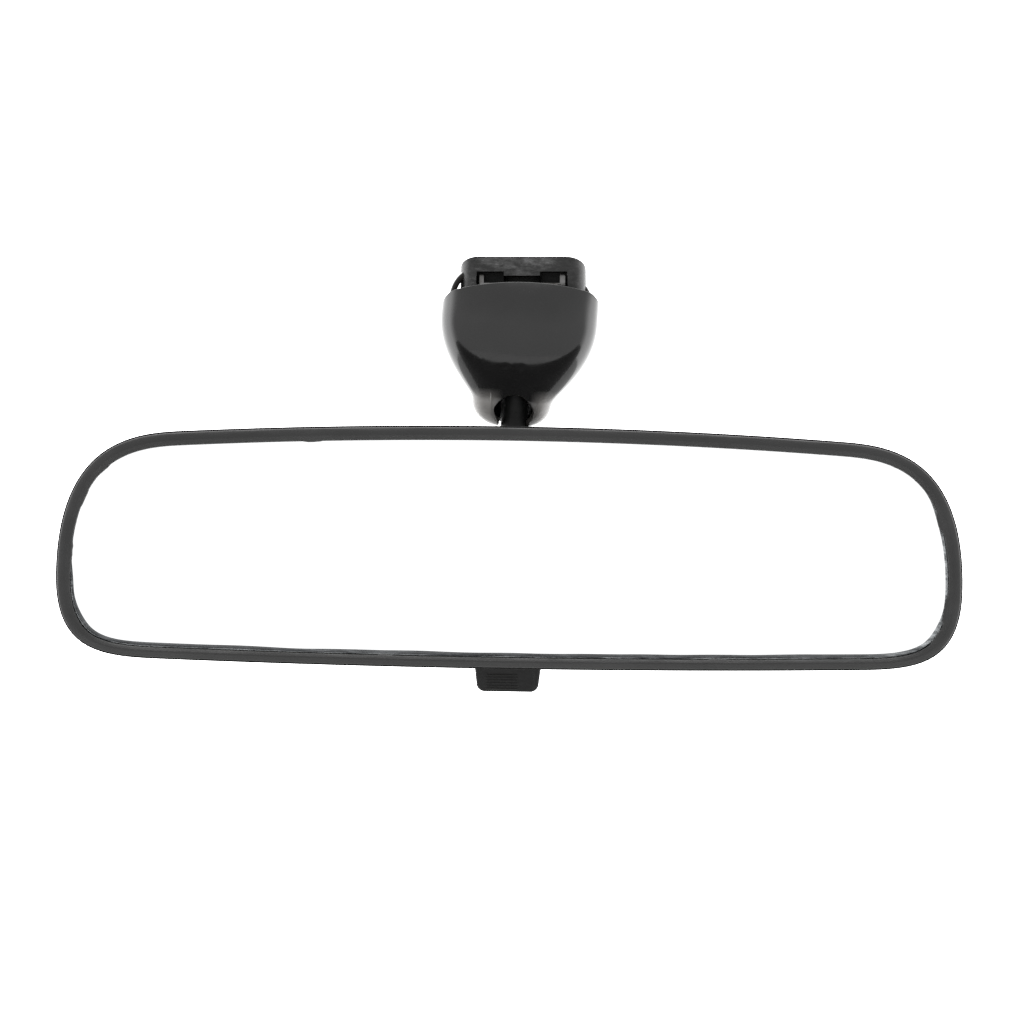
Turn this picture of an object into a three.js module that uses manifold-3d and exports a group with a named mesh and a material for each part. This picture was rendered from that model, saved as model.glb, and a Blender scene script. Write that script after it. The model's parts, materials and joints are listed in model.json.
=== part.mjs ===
// Interior rearview mirror: a prismatic day/night glass in a moulded case, a flip lever,
// a ball joint on a bent stay, a glossy two-piece stay cover and a windshield seat.
//
// Millimetres, +Z up, glass facing -Y. Inside the `mirror` group every size is measured from
// the centre of the head's front face: x along the head, y back from the glass side, z up.
// The exported group is moved so that its origin lies on the windshield seat face.

import * as THREE from 'three';
import { mergeVertices } from 'three/addons/utils/BufferGeometryUtils.js';
import Module from 'manifold-3d';

const wasm = await Module();
wasm.setup();

const DEG = Math.PI / 180;
const GAP = 0.3;

// ------------------------------------------------------------------ driving dimensions

// Head outline: two shallow crowns joined by long round corners.
const HALF_WIDTH = 125.35;
const TOP = 33.5;
const BOTTOM = 33.65;
const WIDEST_Z = -9.4;
const TOP_CROWN = { radius: 1500, end: 90.5, handle: 12.2, sideHandle: 38.3 };
const BOTTOM_CROWN = { radius: 3750, end: 96.7, handle: 15.6, sideHandle: 21.6 };

// Case shell.
const CASE_FRONT = 1.5;
const CASE_WALL = 2.2;
const CASE_LIP = 0.95;
const LIP_DEPTH = 7.5;
const SIDE_DEPTH = 14;
const CASE_DEPTH = 26;
const BACK_ROUND = 13;
const BACK_CROWN = 0.8;
const END_SLIMMING = 0.35;

// Bezel ring, prismatic glass and what is behind it.
const BEZEL_RIM = 0.45;
const BEZEL_OUTER = 1.25;
const BEZEL_INNER = 4;
const BEZEL_SKIRT = 6.8;
const BEZEL_LOWER_FACTOR = 0.8;
const GLASS_INSET = 2.85;
const GLASS_FRONT = 1.9;
const GLASS_THICK_TOP = 6;
const GLASS_THICK_BOTTOM = 3;
const BACKING_INSET = 5;
const BACKING_THICKNESS = 0.8;
const PAD_X = 70;
const PAD_SIZE = [24, 12.6, 26];

// Ball joint: nested shells about the ball's centre, open towards the neck.
const BALL = new THREE.Vector3(0, 24, 6);
const BALL_RADIUS = 8.5;
const NECK_RADIUS = 3.75;
const NECK_RISE = 35 * DEG;
const NECK_STRAIGHT = 13.5;
const NECK_BEND = 6;
const NECK_TOP = 24;
const MOUTH_ANGLE = 54 * DEG;
const SEAT_SHELL = [8.65, 10.2];
const CLAMP_SHELL = [10.35, 11.5];
const SOCKET_SHELL = [11.75, 14.2];
const HEAD_ROLL = 1.85 * DEG;

// Day/night flip: the head hangs on a pivot, the lever's crank works in the bracket's fork.
const FLIP_PIVOT = new THREE.Vector2(16, 24);
const FLIP_ANGLE = 4.5 * DEG;
const LEVER_PIVOT = new THREE.Vector2(14, -27);
const LEVER_SWING = 24 * DEG;
const CRANK_RADIUS = ((FLIP_PIVOT.y - LEVER_PIVOT.y) * Math.tan(FLIP_ANGLE))
  / (2 * Math.sin(LEVER_SWING) + Math.cos(LEVER_SWING) * Math.tan(FLIP_ANGLE));
const CRANK_PIN_RADIUS = 1.2;
const LEVER_PIN_RADIUS = 1.25;
const FLIP_PIN_RADIUS = 1.5;
const PIN_CLEARANCE = 0.1;
const LUG = { flip: [13.2, 17.2], lever: [9, 12] };
const LEVER_SLOT = { halfWidth: 8.7, from: 8.4, to: 20.8 };
const BACK_HOLE_RADIUS = 17.4;
const HUB_RADIUS = 3.2;
const CHEEK = { from: 3.6, width: 4, crownRadius: 2.3 };
const LEVER_LENGTH = 14.2;
const TAB = { top: 8, width: 18.3, tipWidth: 17, thickness: 4.4, corner: 2.1 };
const RIDGES = { count: 5, pitch: 0.95, first: 8.9, halfWidth: 4.5, height: 0.35, thickness: 0.44 };
const DETENT = {
  y: 20.2, top: -13.4, screwZ: -16.5, width: 13, window: 7.4, windowTop: -21.5, thickness: 0.5,
};
const DETENT_BOSS = { radius: 2.8, from: 20.9, to: 24.9 };
const BRACKET = { halfWidth: 12, front: 10.4, back: 13, bottom: -18, top: 27, ear: 3.5, earRadius: 4 };
const TAIL = { halfWidth: 3, front: 9.4, back: 15, bottom: -24.9 };

// Windshield seat: the glass rakes back, so the seat face leans by SEAT_RAKE.
const SEAT = new THREE.Vector3(0, 38, 80.1);
const SEAT_RAKE = 30 * DEG;
const BASE = { front: 34, halfWidth: 17.9, corner: 5.5, rear: 62, thickness: 11 };
const BUTTON_SLOT = { start: 4.5, length: 34, mouth: 9.6, halfWidth: 11.3, lip: 1.5, depth: 6 };
const NOTCH = { x: 9, width: 7.7, depth: 4.5, top: 78.1 };
const BASE_GROOVE_TOP = 76.9;
const CLIP_THICKNESS = 0.8;
const FLANGE = { halfWidth: 16, from: 0.5, to: 12.5, thickness: 3 };
const BASE_SCREW = { x: 13.6, along: 6, length: 9 };
// The base sits slightly turned about the seat's normal, against the lean of the arm.
const BASE_TURN = -5 * DEG;

// Stay and its cover.
const STAY_RADIUS = 4.25;
const SPIGOT_RADIUS = 2.85;
const SPIGOT_TOP = 37;
const CROSS_PIN = { z: 31, radius: 1, length: 8.2 };
const COVER_WALL = 1.8;
const COVER_SEAM = 37;
const COVER_TOP_ARCH = { edge: 18.2, edgeZ: 72.8, centreZ: 74.95, control: 9.5 };
const THROAT_SHIFT = 0.9;
const COVER_LEAN = { angle: 2.6 * DEG, trimAngle: -2 * DEG, pivotZ: 70 };
const SECTION_POWER = 2.7;

// ------------------------------------------------------------------ solids and booleans

function solid(geometry) {
  const bare = geometry.clone();
  bare.deleteAttribute('normal');
  bare.deleteAttribute('uv');
  const merged = mergeVertices(bare, 1e-4);
  const mesh = new wasm.Mesh({
    numProp: 3,
    vertProperties: new Float32Array(merged.attributes.position.array),
    triVerts: new Uint32Array(merged.index.array),
  });
  return new wasm.Manifold(mesh);
}

function geometryOf(manifold) {
  const mesh = manifold.getMesh();
  const geometry = new THREE.BufferGeometry();
  geometry.setAttribute('position', new THREE.BufferAttribute(new Float32Array(mesh.vertProperties), 3));
  geometry.setIndex(new THREE.BufferAttribute(new Uint32Array(mesh.triVerts), 1));
  geometry.computeVertexNormals();
  return geometry;
}

function box(low, high) {
  const size = high.map((value, axis) => value - low[axis]);
  const centre = high.map((value, axis) => (value + low[axis]) / 2);
  return solid(new THREE.BoxGeometry(...size).translate(...centre));
}

// A round bar along X, centred at (x, y, z).
function barX(radius, length, x, y, z, sides = 16) {
  const geometry = new THREE.CylinderGeometry(radius, radius, length, sides);
  return solid(geometry.rotateZ(Math.PI / 2).translate(x, y, z));
}

// A bar along X whose outline is drawn in the YZ plane, from x = `from`.
function extrudeX(shape, from, width, curveSegments = 8) {
  const options = { depth: width, bevelEnabled: false, curveSegments };
  return solid(new THREE.ExtrudeGeometry(shape, options)
    .applyMatrix4(new THREE.Matrix4().makeBasis(
      new THREE.Vector3(0, 1, 0),
      new THREE.Vector3(0, 0, 1),
      new THREE.Vector3(1, 0, 0),
    ))
    .translate(from, 0, 0));
}

// A round bar along Y between two depths.
function barY(radius, from, to, x, z, sides = 20) {
  const geometry = new THREE.CylinderGeometry(radius, radius, to - from, sides);
  return solid(geometry.translate(x, (from + to) / 2, z));
}

function mirrored(build) {
  return [-1, 1].map(build);
}

function union(parts) {
  return parts.reduce((sum, part) => sum.add(part));
}

// The signed volume tells whether the faces look outwards.
function signedVolume(points, triangles) {
  let volume = 0;
  for (let i = 0; i < triangles.length; i += 3) {
    const [a, b, c] = [points[triangles[i]], points[triangles[i + 1]], points[triangles[i + 2]]];
    volume += a.dot(new THREE.Vector3().crossVectors(b, c)) / 6;
  }
  return volume;
}

// A closed skin over a row of rings with equal counts of points. A ring of one point is a
// pole, an open end gets a cap, and a `closed` row joins its last ring to its first.
function loft(rings, closed = false) {
  const points = [];
  const starts = rings.map((ring) => points.push(...ring) - ring.length);
  const triangles = [];
  const bridge = (first, second) => {
    const count = Math.max(rings[first].length, rings[second].length);
    const at = (ring, i) => starts[ring] + (rings[ring].length === 1 ? 0 : i % count);
    for (let i = 0; i < count; i += 1) {
      if (rings[first].length > 1) {
        triangles.push(at(first, i), at(first, i + 1), at(second, i));
      }
      if (rings[second].length > 1) {
        triangles.push(at(first, i + 1), at(second, i + 1), at(second, i));
      }
    }
  };
  const cap = (ring, flip) => {
    const count = rings[ring].length;
    const centre = rings[ring].reduce((sum, point) => sum.add(point), new THREE.Vector3());
    const hub = points.push(centre.divideScalar(count)) - 1;
    for (let i = 0; i < count; i += 1) {
      const edge = [starts[ring] + i, starts[ring] + ((i + 1) % count)];
      triangles.push(hub, ...(flip ? edge.reverse() : edge));
    }
  };
  for (let i = 0; i + 1 < rings.length; i += 1) {
    bridge(i, i + 1);
  }
  if (closed) {
    bridge(rings.length - 1, 0);
  } else {
    if (rings[0].length > 1) {
      cap(0, true);
    }
    if (rings[rings.length - 1].length > 1) {
      cap(rings.length - 1, false);
    }
  }
  if (signedVolume(points, triangles) < 0) {
    triangles.reverse();
  }
  const geometry = new THREE.BufferGeometry().setFromPoints(points);
  geometry.setIndex(triangles);
  return geometry;
}

// ------------------------------------------------------------------ head outline

function headOutline() {
  const crownPoint = (crown, extent) => extent - crown.radius
    + Math.sqrt(crown.radius ** 2 - crown.end ** 2);
  const topEnd = new THREE.Vector2(TOP_CROWN.end, crownPoint(TOP_CROWN, TOP));
  const bottomEnd = new THREE.Vector2(BOTTOM_CROWN.end, -crownPoint(BOTTOM_CROWN, BOTTOM));
  const topSlope = Math.asin(TOP_CROWN.end / TOP_CROWN.radius);
  const bottomSlope = Math.asin(BOTTOM_CROWN.end / BOTTOM_CROWN.radius);
  const widest = new THREE.Vector2(HALF_WIDTH, WIDEST_Z);
  const topCorner = new THREE.CubicBezierCurve(
    topEnd,
    new THREE.Vector2(Math.cos(topSlope), -Math.sin(topSlope)).multiplyScalar(TOP_CROWN.handle).add(topEnd),
    new THREE.Vector2(HALF_WIDTH, WIDEST_Z + TOP_CROWN.sideHandle),
    widest,
  );
  const bottomCorner = new THREE.CubicBezierCurve(
    widest,
    new THREE.Vector2(HALF_WIDTH, WIDEST_Z - BOTTOM_CROWN.sideHandle),
    new THREE.Vector2(Math.cos(bottomSlope), Math.sin(bottomSlope))
      .multiplyScalar(BOTTOM_CROWN.handle).add(bottomEnd),
    bottomEnd,
  );
  const crownArc = (crown, extent, sign) => [0, 0.25, 0.5, 0.75].map((part) => {
    const x = crown.end * part;
    const z = extent - crown.radius + Math.sqrt(crown.radius ** 2 - x ** 2);
    return new THREE.Vector2(x, sign * z);
  });
  const right = [
    ...crownArc(TOP_CROWN, TOP, 1),
    ...topCorner.getPoints(14),
    ...bottomCorner.getPoints(10).slice(1),
    ...crownArc(BOTTOM_CROWN, BOTTOM, -1).reverse(),
  ];
  const left = right.slice(1, -1).reverse().map((point) => new THREE.Vector2(-point.x, point.y));
  return [...right, ...left];
}

const OUTLINE = headOutline();

// The outline drawn in by `inset`, at depth y. `lower` widens the inset below the middle.
function headRing(inset, y, lower = 1) {
  const depth = typeof y === 'function' ? y : () => y;
  return OUTLINE.map((point) => {
    const x = point.x * (1 - inset / HALF_WIDTH);
    const factor = point.y < 0 ? 1 - (inset * lower) / BOTTOM : 1 - inset / TOP;
    const z = point.y * factor;
    return new THREE.Vector3(x, depth(x, z), z);
  });
}

// Depth past the straight side wall shrinks towards the head's ends.
function slimmed(y) {
  return (x) => SIDE_DEPTH + (y - SIDE_DEPTH) * (1 - END_SLIMMING * (x / HALF_WIDTH) ** 2);
}

// Rings of a bowl from the side wall over its round edge to the crowned back.
function bowlRings(sideInset, roundIn, depth) {
  const edge = [18, 36, 54, 72, 90].map((angle) => headRing(
    sideInset + roundIn * (1 - Math.cos(angle * DEG)),
    slimmed(SIDE_DEPTH + (depth - SIDE_DEPTH) * Math.sin(angle * DEG)),
  ));
  const rim = headRing(sideInset + roundIn, 0);
  const back = [0.6, 0.3].map((scale) => rim.map((point) => new THREE.Vector3(
    point.x * scale,
    slimmed(depth + BACK_CROWN * (1 - scale ** 2))(point.x * scale),
    point.z * scale,
  )));
  return [...edge, ...back, [new THREE.Vector3(0, depth + BACK_CROWN, 0)]];
}

// ------------------------------------------------------------------ head: case, bezel, glass

function caseHull() {
  return solid(loft([
    headRing(0, CASE_FRONT),
    headRing(0.35, 8),
    headRing(0.9, SIDE_DEPTH),
    ...bowlRings(0.9, BACK_ROUND, CASE_DEPTH),
  ]));
}

function caseHollow() {
  return solid(loft([
    headRing(CASE_LIP, CASE_FRONT - 1),
    headRing(CASE_LIP, LIP_DEPTH),
    headRing(0.4 + CASE_WALL, LIP_DEPTH + 0.01),
    headRing(0.9 + CASE_WALL, SIDE_DEPTH),
    ...bowlRings(0.9 + CASE_WALL, BACK_ROUND - 1.5, CASE_DEPTH - CASE_WALL),
  ]));
}

// Two upright lugs inside the case, one on each side, between two depths and two heights.
function caseLugs([near, far], [front, back], [bottom, top]) {
  return union(mirrored((side) => {
    const [low, high] = side > 0 ? [near, far] : [-far, -near];
    return box([low, front, bottom], [high, back, top]);
  }));
}

function mirrorCase() {
  const hull = caseHull();
  const flipLugs = caseLugs(LUG.flip, [FLIP_PIVOT.x - 4.5, FLIP_PIVOT.x + 4.5], [20, TOP]);
  const leverLugs = caseLugs(LUG.lever, [LEVER_PIVOT.x - 3.5, LEVER_PIVOT.x + 4], [-BOTTOM, -23.5]);
  const screwBoss = barY(DETENT_BOSS.radius, DETENT_BOSS.from, DETENT_BOSS.to, 0, DETENT.screwZ);
  const inner = union([flipLugs, leverLugs, screwBoss]);
  const backHole = barY(BACK_HOLE_RADIUS, CASE_DEPTH - 6, CASE_DEPTH + 6, 0, BALL.z, 48);
  const slot = LEVER_SLOT;
  const leverSlot = box([-slot.halfWidth, slot.from, -BOTTOM - 3], [slot.halfWidth, slot.to, -29.2]);
  const screwHole = barY(1.25, DETENT.y - 1, DETENT.y + 3.4, 0, DETENT.screwZ, 16);
  const pinHole = barX(FLIP_PIN_RADIUS + PIN_CLEARANCE, 60, 0, FLIP_PIVOT.x, FLIP_PIVOT.y);
  const leverPinHole = barX(LEVER_PIN_RADIUS + PIN_CLEARANCE, 40, 0, LEVER_PIVOT.x, LEVER_PIVOT.y);
  return geometryOf(hull
    .subtract(caseHollow())
    .add(inner.intersect(hull))
    .subtract(union([backHole, leverSlot, screwHole, pinHole, leverPinHole])));
}

// The bezel is an L-shaped ring: a crowned front flange over the glass edge, and a skirt
// that drops inside the case's lip.
function bezelRing() {
  const flange = BEZEL_INNER - BEZEL_RIM;
  const inside = GLASS_INSET - GAP;
  const overlap = CASE_FRONT - GAP;
  const section = [
    [BEZEL_RIM, overlap, 1],
    [BEZEL_RIM + 0.08 * flange, 0.5, 1],
    [BEZEL_RIM + 0.4 * flange, 0.1, 1],
    [BEZEL_RIM + 0.6 * flange, 0, 1],
    [BEZEL_RIM + 0.83 * flange, 0.4, BEZEL_LOWER_FACTOR],
    [BEZEL_INNER, 1.1, BEZEL_LOWER_FACTOR],
    [BEZEL_INNER, GLASS_FRONT - 0.2, BEZEL_LOWER_FACTOR],
    [inside, GLASS_FRONT - 0.2, 1],
    [inside, BEZEL_SKIRT, 1],
    [BEZEL_OUTER, BEZEL_SKIRT, 1],
    [BEZEL_OUTER, overlap, 1],
  ];
  return loft(section.map(([inset, y, lower]) => headRing(inset, y, lower)), true);
}

// Back of the wedge-shaped glass at height z.
function glassBack(z) {
  const middle = (GLASS_THICK_TOP + GLASS_THICK_BOTTOM) / 2;
  const taper = (GLASS_THICK_TOP - GLASS_THICK_BOTTOM) / (TOP + BOTTOM - 2 * GLASS_INSET);
  return GLASS_FRONT + middle + taper * z;
}

function prismGlass() {
  return loft([
    headRing(GLASS_INSET, GLASS_FRONT),
    headRing(GLASS_INSET, (x, z) => glassBack(z)),
  ]);
}

function glassBacking() {
  return loft([
    headRing(BACKING_INSET, (x, z) => glassBack(z) + GAP),
    headRing(BACKING_INSET, (x, z) => glassBack(z) + GAP + BACKING_THICKNESS),
  ]);
}

function glassPad() {
  const [width, depth, height] = PAD_SIZE;
  const shape = new THREE.Shape();
  const radius = 3;
  shape.moveTo(-width / 2 + radius, -height / 2);
  shape.lineTo(width / 2 - radius, -height / 2);
  shape.absarc(width / 2 - radius, -height / 2 + radius, radius, -Math.PI / 2, 0);
  shape.absarc(width / 2 - radius, height / 2 - radius, radius, 0, Math.PI / 2);
  shape.absarc(-width / 2 + radius, height / 2 - radius, radius, Math.PI / 2, Math.PI);
  shape.absarc(-width / 2 + radius, -height / 2 + radius, radius, Math.PI, 1.5 * Math.PI);
  const geometry = new THREE.ExtrudeGeometry(shape, { depth, bevelEnabled: false, curveSegments: 4 });
  return geometry.rotateX(Math.PI / 2);
}

// ------------------------------------------------------------------ head: pins, clips, detent

function pinX(radius, length) {
  const chamfer = 0.3;
  const half = length / 2;
  const profile = [
    new THREE.Vector2(0, -half),
    new THREE.Vector2(radius - chamfer, -half),
    new THREE.Vector2(radius, -half + chamfer),
    new THREE.Vector2(radius, half - chamfer),
    new THREE.Vector2(radius - chamfer, half),
    new THREE.Vector2(0, half),
  ];
  return new THREE.LatheGeometry(profile, 14).rotateZ(Math.PI / 2);
}

function retainingRing() {
  const shape = new THREE.Shape();
  shape.absarc(0, 0, 3.2, 0.3, 2 * Math.PI - 0.3);
  shape.absarc(0, 0, FLIP_PIN_RADIUS + PIN_CLEARANCE, 2 * Math.PI - 0.6, 0.6, true);
  const options = { depth: 0.8, bevelEnabled: false, curveSegments: 10 };
  return new THREE.ExtrudeGeometry(shape, options).translate(0, 0, -0.4).rotateY(Math.PI / 2);
}

// Forked leaf whose two legs bear on the back of the lever's hub, beside the bracket's tail.
function detentSpring() {
  const leaf = DETENT;
  const hubBack = LEVER_PIVOT.x + HUB_RADIUS + PIN_CLEARANCE;
  const hubZ = LEVER_PIVOT.y;
  const line = [
    [leaf.y, leaf.top],
    [leaf.y, hubZ + 6],
    [hubBack + 1.2, hubZ + 2.4],
    [hubBack, hubZ],
    [hubBack + 0.4, hubZ - 1.6],
  ];
  const shape = new THREE.Shape();
  line.forEach(([y, z], i) => (i ? shape.lineTo(y, z) : shape.moveTo(y, z)));
  [...line].reverse().forEach(([y, z]) => shape.lineTo(y + leaf.thickness, z));
  const blank = extrudeX(shape, -leaf.width / 2, leaf.width);
  const window = box([-leaf.window / 2, 10, hubZ - 5], [leaf.window / 2, 30, leaf.windowTop]);
  return geometryOf(blank
    .subtract(window)
    .subtract(barY(1.4, leaf.y - 2, leaf.y + 2, 0, leaf.screwZ, 16)));
}

// A pan-head screw along +Z, its head's underside at the origin, with a cross recess.
function panScrew(shankRadius, length, headRadius, headHeight) {
  const profile = [
    new THREE.Vector2(0, -headHeight),
    new THREE.Vector2(headRadius * 0.75, -headHeight * 0.92),
    new THREE.Vector2(headRadius, -headHeight * 0.5),
    new THREE.Vector2(headRadius, 0),
    new THREE.Vector2(shankRadius, 0),
    new THREE.Vector2(shankRadius, length - shankRadius),
    new THREE.Vector2(shankRadius * 0.6, length),
    new THREE.Vector2(0, length),
  ];
  const body = solid(new THREE.LatheGeometry(profile, 14).rotateX(Math.PI / 2));
  const arm = headRadius * 0.55;
  const half = headRadius * 0.13;
  const recess = box([-arm, -half, -headHeight * 1.5], [arm, half, -headHeight * 0.4])
    .add(box([-half, -arm, -headHeight * 1.5], [half, arm, -headHeight * 0.4]));
  return geometryOf(body.subtract(recess));
}

// ------------------------------------------------------------------ day/night lever

// The lever in its own frame: pivot at the origin, crank up, tab down, front towards -Y.
function dayNightLever() {
  const outline = new THREE.Shape();
  outline.absarc(0, 0, HUB_RADIUS, Math.PI, 2 * Math.PI);
  outline.absarc(0, CRANK_RADIUS, CHEEK.crownRadius, 0, Math.PI);
  const cheeks = mirrored((side) => {
    const from = side > 0 ? CHEEK.from : -CHEEK.from - CHEEK.width;
    return extrudeX(outline, from, CHEEK.width);
  });
  const reach = CHEEK.from + CHEEK.width + 0.4;
  const web = box([-reach, -1.5, -TAB.top - 1], [reach, 1.5, -2.3]);
  const holes = barX(LEVER_PIN_RADIUS + PIN_CLEARANCE, 20, 0, 0, 0)
    .add(barX(CRANK_PIN_RADIUS + PIN_CLEARANCE, 20, 0, 0, CRANK_RADIUS));
  return geometryOf(union([...cheeks, web, leverTab(), ...gripRidges()]).subtract(holes));
}

function leverTab() {
  const shape = new THREE.Shape();
  const half = TAB.width / 2;
  const tip = TAB.tipWidth / 2;
  shape.moveTo(-half, -TAB.top);
  shape.lineTo(-tip, -LEVER_LENGTH + TAB.corner);
  shape.absarc(-tip + TAB.corner, -LEVER_LENGTH + TAB.corner, TAB.corner, Math.PI, 1.5 * Math.PI);
  shape.absarc(tip - TAB.corner, -LEVER_LENGTH + TAB.corner, TAB.corner, 1.5 * Math.PI, 2 * Math.PI);
  shape.lineTo(half, -TAB.top);
  const bevel = 0.5;
  const geometry = new THREE.ExtrudeGeometry(shape, {
    depth: TAB.thickness - 2 * bevel,
    bevelThickness: bevel,
    bevelSize: bevel,
    bevelOffset: -bevel,
    bevelSegments: 2,
    curveSegments: 6,
  });
  return solid(geometry.translate(0, 0, bevel - TAB.thickness / 2).rotateX(Math.PI / 2));
}

function gripRidges() {
  const half = TAB.thickness / 2;
  return Array.from({ length: RIDGES.count }, (_, i) => {
    const z = -(RIDGES.first + i * RIDGES.pitch);
    return box(
      [-RIDGES.halfWidth, -half - RIDGES.height, z - RIDGES.thickness / 2],
      [RIDGES.halfWidth, -half + 0.2, z + RIDGES.thickness / 2],
    );
  });
}

// ------------------------------------------------------------------ ball joint

const NECK_DIRECTION = new THREE.Vector3(0, Math.cos(NECK_RISE), Math.sin(NECK_RISE));

// Turns a solid of revolution made about +Z so that it points along the neck.
function alongNeck(geometry) {
  return geometry.rotateX(NECK_RISE - Math.PI / 2);
}

function arcProfile(radius, from, to, steps) {
  return Array.from({ length: steps + 1 }, (_, i) => {
    const angle = from + ((to - from) * i) / steps;
    return new THREE.Vector2(radius * Math.sin(angle), radius * Math.cos(angle));
  });
}

// A spherical shell about the ball's centre between two angles from the neck's direction.
function ballShell([inner, outer], from, to, steps) {
  const atPole = Math.abs(to - Math.PI) < 1e-6;
  const outside = arcProfile(outer, from, to, steps);
  const inside = arcProfile(inner, to, from, steps);
  if (atPole) {
    outside[steps].x = 0;
    inside[0].x = 0;
  }
  const profile = [...outside, ...inside, outside[0].clone()].reverse();
  return alongNeck(new THREE.LatheGeometry(profile, 26).rotateX(Math.PI / 2));
}

function ballStud() {
  const ball = solid(new THREE.SphereGeometry(BALL_RADIUS, 26, 14));
  const start = NECK_DIRECTION.clone().multiplyScalar(NECK_STRAIGHT);
  const centre = new THREE.Vector3(
    0,
    start.y - NECK_BEND * Math.sin(NECK_RISE),
    start.z + NECK_BEND * Math.cos(NECK_RISE),
  );
  const route = [NECK_DIRECTION.clone().multiplyScalar(5), NECK_DIRECTION.clone().multiplyScalar(9)];
  for (let i = 0; i <= 8; i += 1) {
    const angle = -(Math.PI / 2 - NECK_RISE) * (1 - i / 8);
    route.push(new THREE.Vector3(
      0,
      centre.y + NECK_BEND * Math.cos(angle),
      centre.z + NECK_BEND * Math.sin(angle),
    ));
  }
  const stayAxis = centre.y + NECK_BEND;
  const neckTop = NECK_TOP - BALL.z;
  route.push(new THREE.Vector3(0, stayAxis, neckTop));
  const rings = route.map((point, i) => {
    const before = route[Math.max(i - 1, 0)];
    const after = route[Math.min(i + 1, route.length - 1)];
    const along = after.clone().sub(before).normalize();
    const across = new THREE.Vector3(1, 0, 0);
    const up = new THREE.Vector3().crossVectors(along, across);
    return Array.from({ length: 24 }, (_, k) => {
      const turn = (k / 24) * 2 * Math.PI;
      return point.clone()
        .addScaledVector(across, NECK_RADIUS * Math.cos(turn))
        .addScaledVector(up, NECK_RADIUS * Math.sin(turn));
    });
  });
  const spigotTop = SPIGOT_TOP - BALL.z;
  const spigotLength = spigotTop - neckTop + 1;
  const spigot = solid(new THREE.CylinderGeometry(SPIGOT_RADIUS, SPIGOT_RADIUS, spigotLength, 24)
    .rotateX(Math.PI / 2)
    .translate(0, stayAxis, spigotTop - spigotLength / 2));
  const pinHole = barX(CROSS_PIN.radius + PIN_CLEARANCE, 20, 0, stayAxis, CROSS_PIN.z - BALL.z);
  return geometryOf(ball.add(solid(loft(rings))).add(spigot).subtract(pinHole));
}

const STAY_Y = BALL.y + NECK_STRAIGHT * Math.cos(NECK_RISE) + NECK_BEND * (1 - Math.sin(NECK_RISE));

// ------------------------------------------------------------------ toggle bracket

// Everything beyond `offset` along the neck from the ball's centre.
function beyondNeck(offset, size = 80) {
  const geometry = new THREE.BoxGeometry(size, size, size).translate(0, 0, size / 2 + offset);
  return solid(alongNeck(geometry)).translate([BALL.x, BALL.y, BALL.z]);
}

function toggleBracket() {
  const centre = [BALL.x, BALL.y, BALL.z];
  const boss = solid(new THREE.SphereGeometry(SOCKET_SHELL[1], 28, 16)).translate(centre);
  const cavity = solid(new THREE.SphereGeometry(SOCKET_SHELL[0], 28, 16)).translate(centre);
  const { halfWidth, front, back, bottom, top, ear, earRadius } = BRACKET;
  const plate = box([-halfWidth, front, bottom], [halfWidth, back, top]);
  const ears = mirrored((side) => {
    const low = side > 0 ? halfWidth - ear : -halfWidth;
    return barX(earRadius, ear, low + ear / 2, FLIP_PIVOT.x, FLIP_PIVOT.y)
      .add(box([low, front, FLIP_PIVOT.y - earRadius], [low + ear, FLIP_PIVOT.x, FLIP_PIVOT.y + earRadius]));
  });
  const tail = box([-TAIL.halfWidth, TAIL.front, TAIL.bottom], [TAIL.halfWidth, TAIL.back, bottom + 1]);
  const crank = new THREE.Vector2(
    LEVER_PIVOT.x - CRANK_RADIUS * Math.sin(LEVER_SWING),
    LEVER_PIVOT.y + CRANK_RADIUS * Math.cos(LEVER_SWING),
  );
  const slack = CRANK_PIN_RADIUS + 0.15;
  const fork = box([-6, crank.x - slack, TAIL.bottom - 5], [6, crank.x + slack, crank.y + slack + 0.6]);
  const pinHole = barX(FLIP_PIN_RADIUS + 0.15, 40, 0, FLIP_PIVOT.x, FLIP_PIVOT.y);
  return geometryOf(union([boss.subtract(beyondNeck(-0.15)), plate, ...ears, tail])
    .subtract(union([cavity, fork, pinHole])));
}

function socketCollar() {
  const shell = solid(ballShell(SOCKET_SHELL, MOUTH_ANGLE, 100 * DEG, 5))
    .translate([BALL.x, BALL.y, BALL.z]);
  return geometryOf(shell.intersect(beyondNeck(0.15)));
}

function preloadWasher() {
  const [inner, outer] = [0.25, 0.8].map((rise) => CLAMP_SHELL[0] + rise);
  const from = 140 * DEG;
  const to = 163 * DEG;
  const corner = (radius, angle) => new THREE.Vector2(radius * Math.sin(angle), radius * Math.cos(angle));
  const profile = [corner(outer, from), corner(outer, to), corner(inner, to), corner(inner, from)];
  profile.push(profile[0].clone());
  return alongNeck(new THREE.LatheGeometry(profile.reverse(), 20).rotateX(Math.PI / 2));
}

// ------------------------------------------------------------------ stay cover

// Front view of the cover's side: bulb at the foot, flank, then the shoulder.
const COVER_SIDE = [
  new THREE.CubicBezierCurve(
    new THREE.Vector2(0, 33.4), new THREE.Vector2(5.5, 33.4),
    new THREE.Vector2(11.1, 35.4), new THREE.Vector2(11.35, 41),
  ),
  new THREE.CubicBezierCurve(
    new THREE.Vector2(11.35, 41), new THREE.Vector2(11.75, 43.6),
    new THREE.Vector2(22.55, 51.5), new THREE.Vector2(22.55, 64.1),
  ),
  new THREE.CubicBezierCurve(
    new THREE.Vector2(22.55, 64.1), new THREE.Vector2(22.5, 69),
    new THREE.Vector2(22, 74), new THREE.Vector2(21.3, 80),
  ),
];

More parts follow.
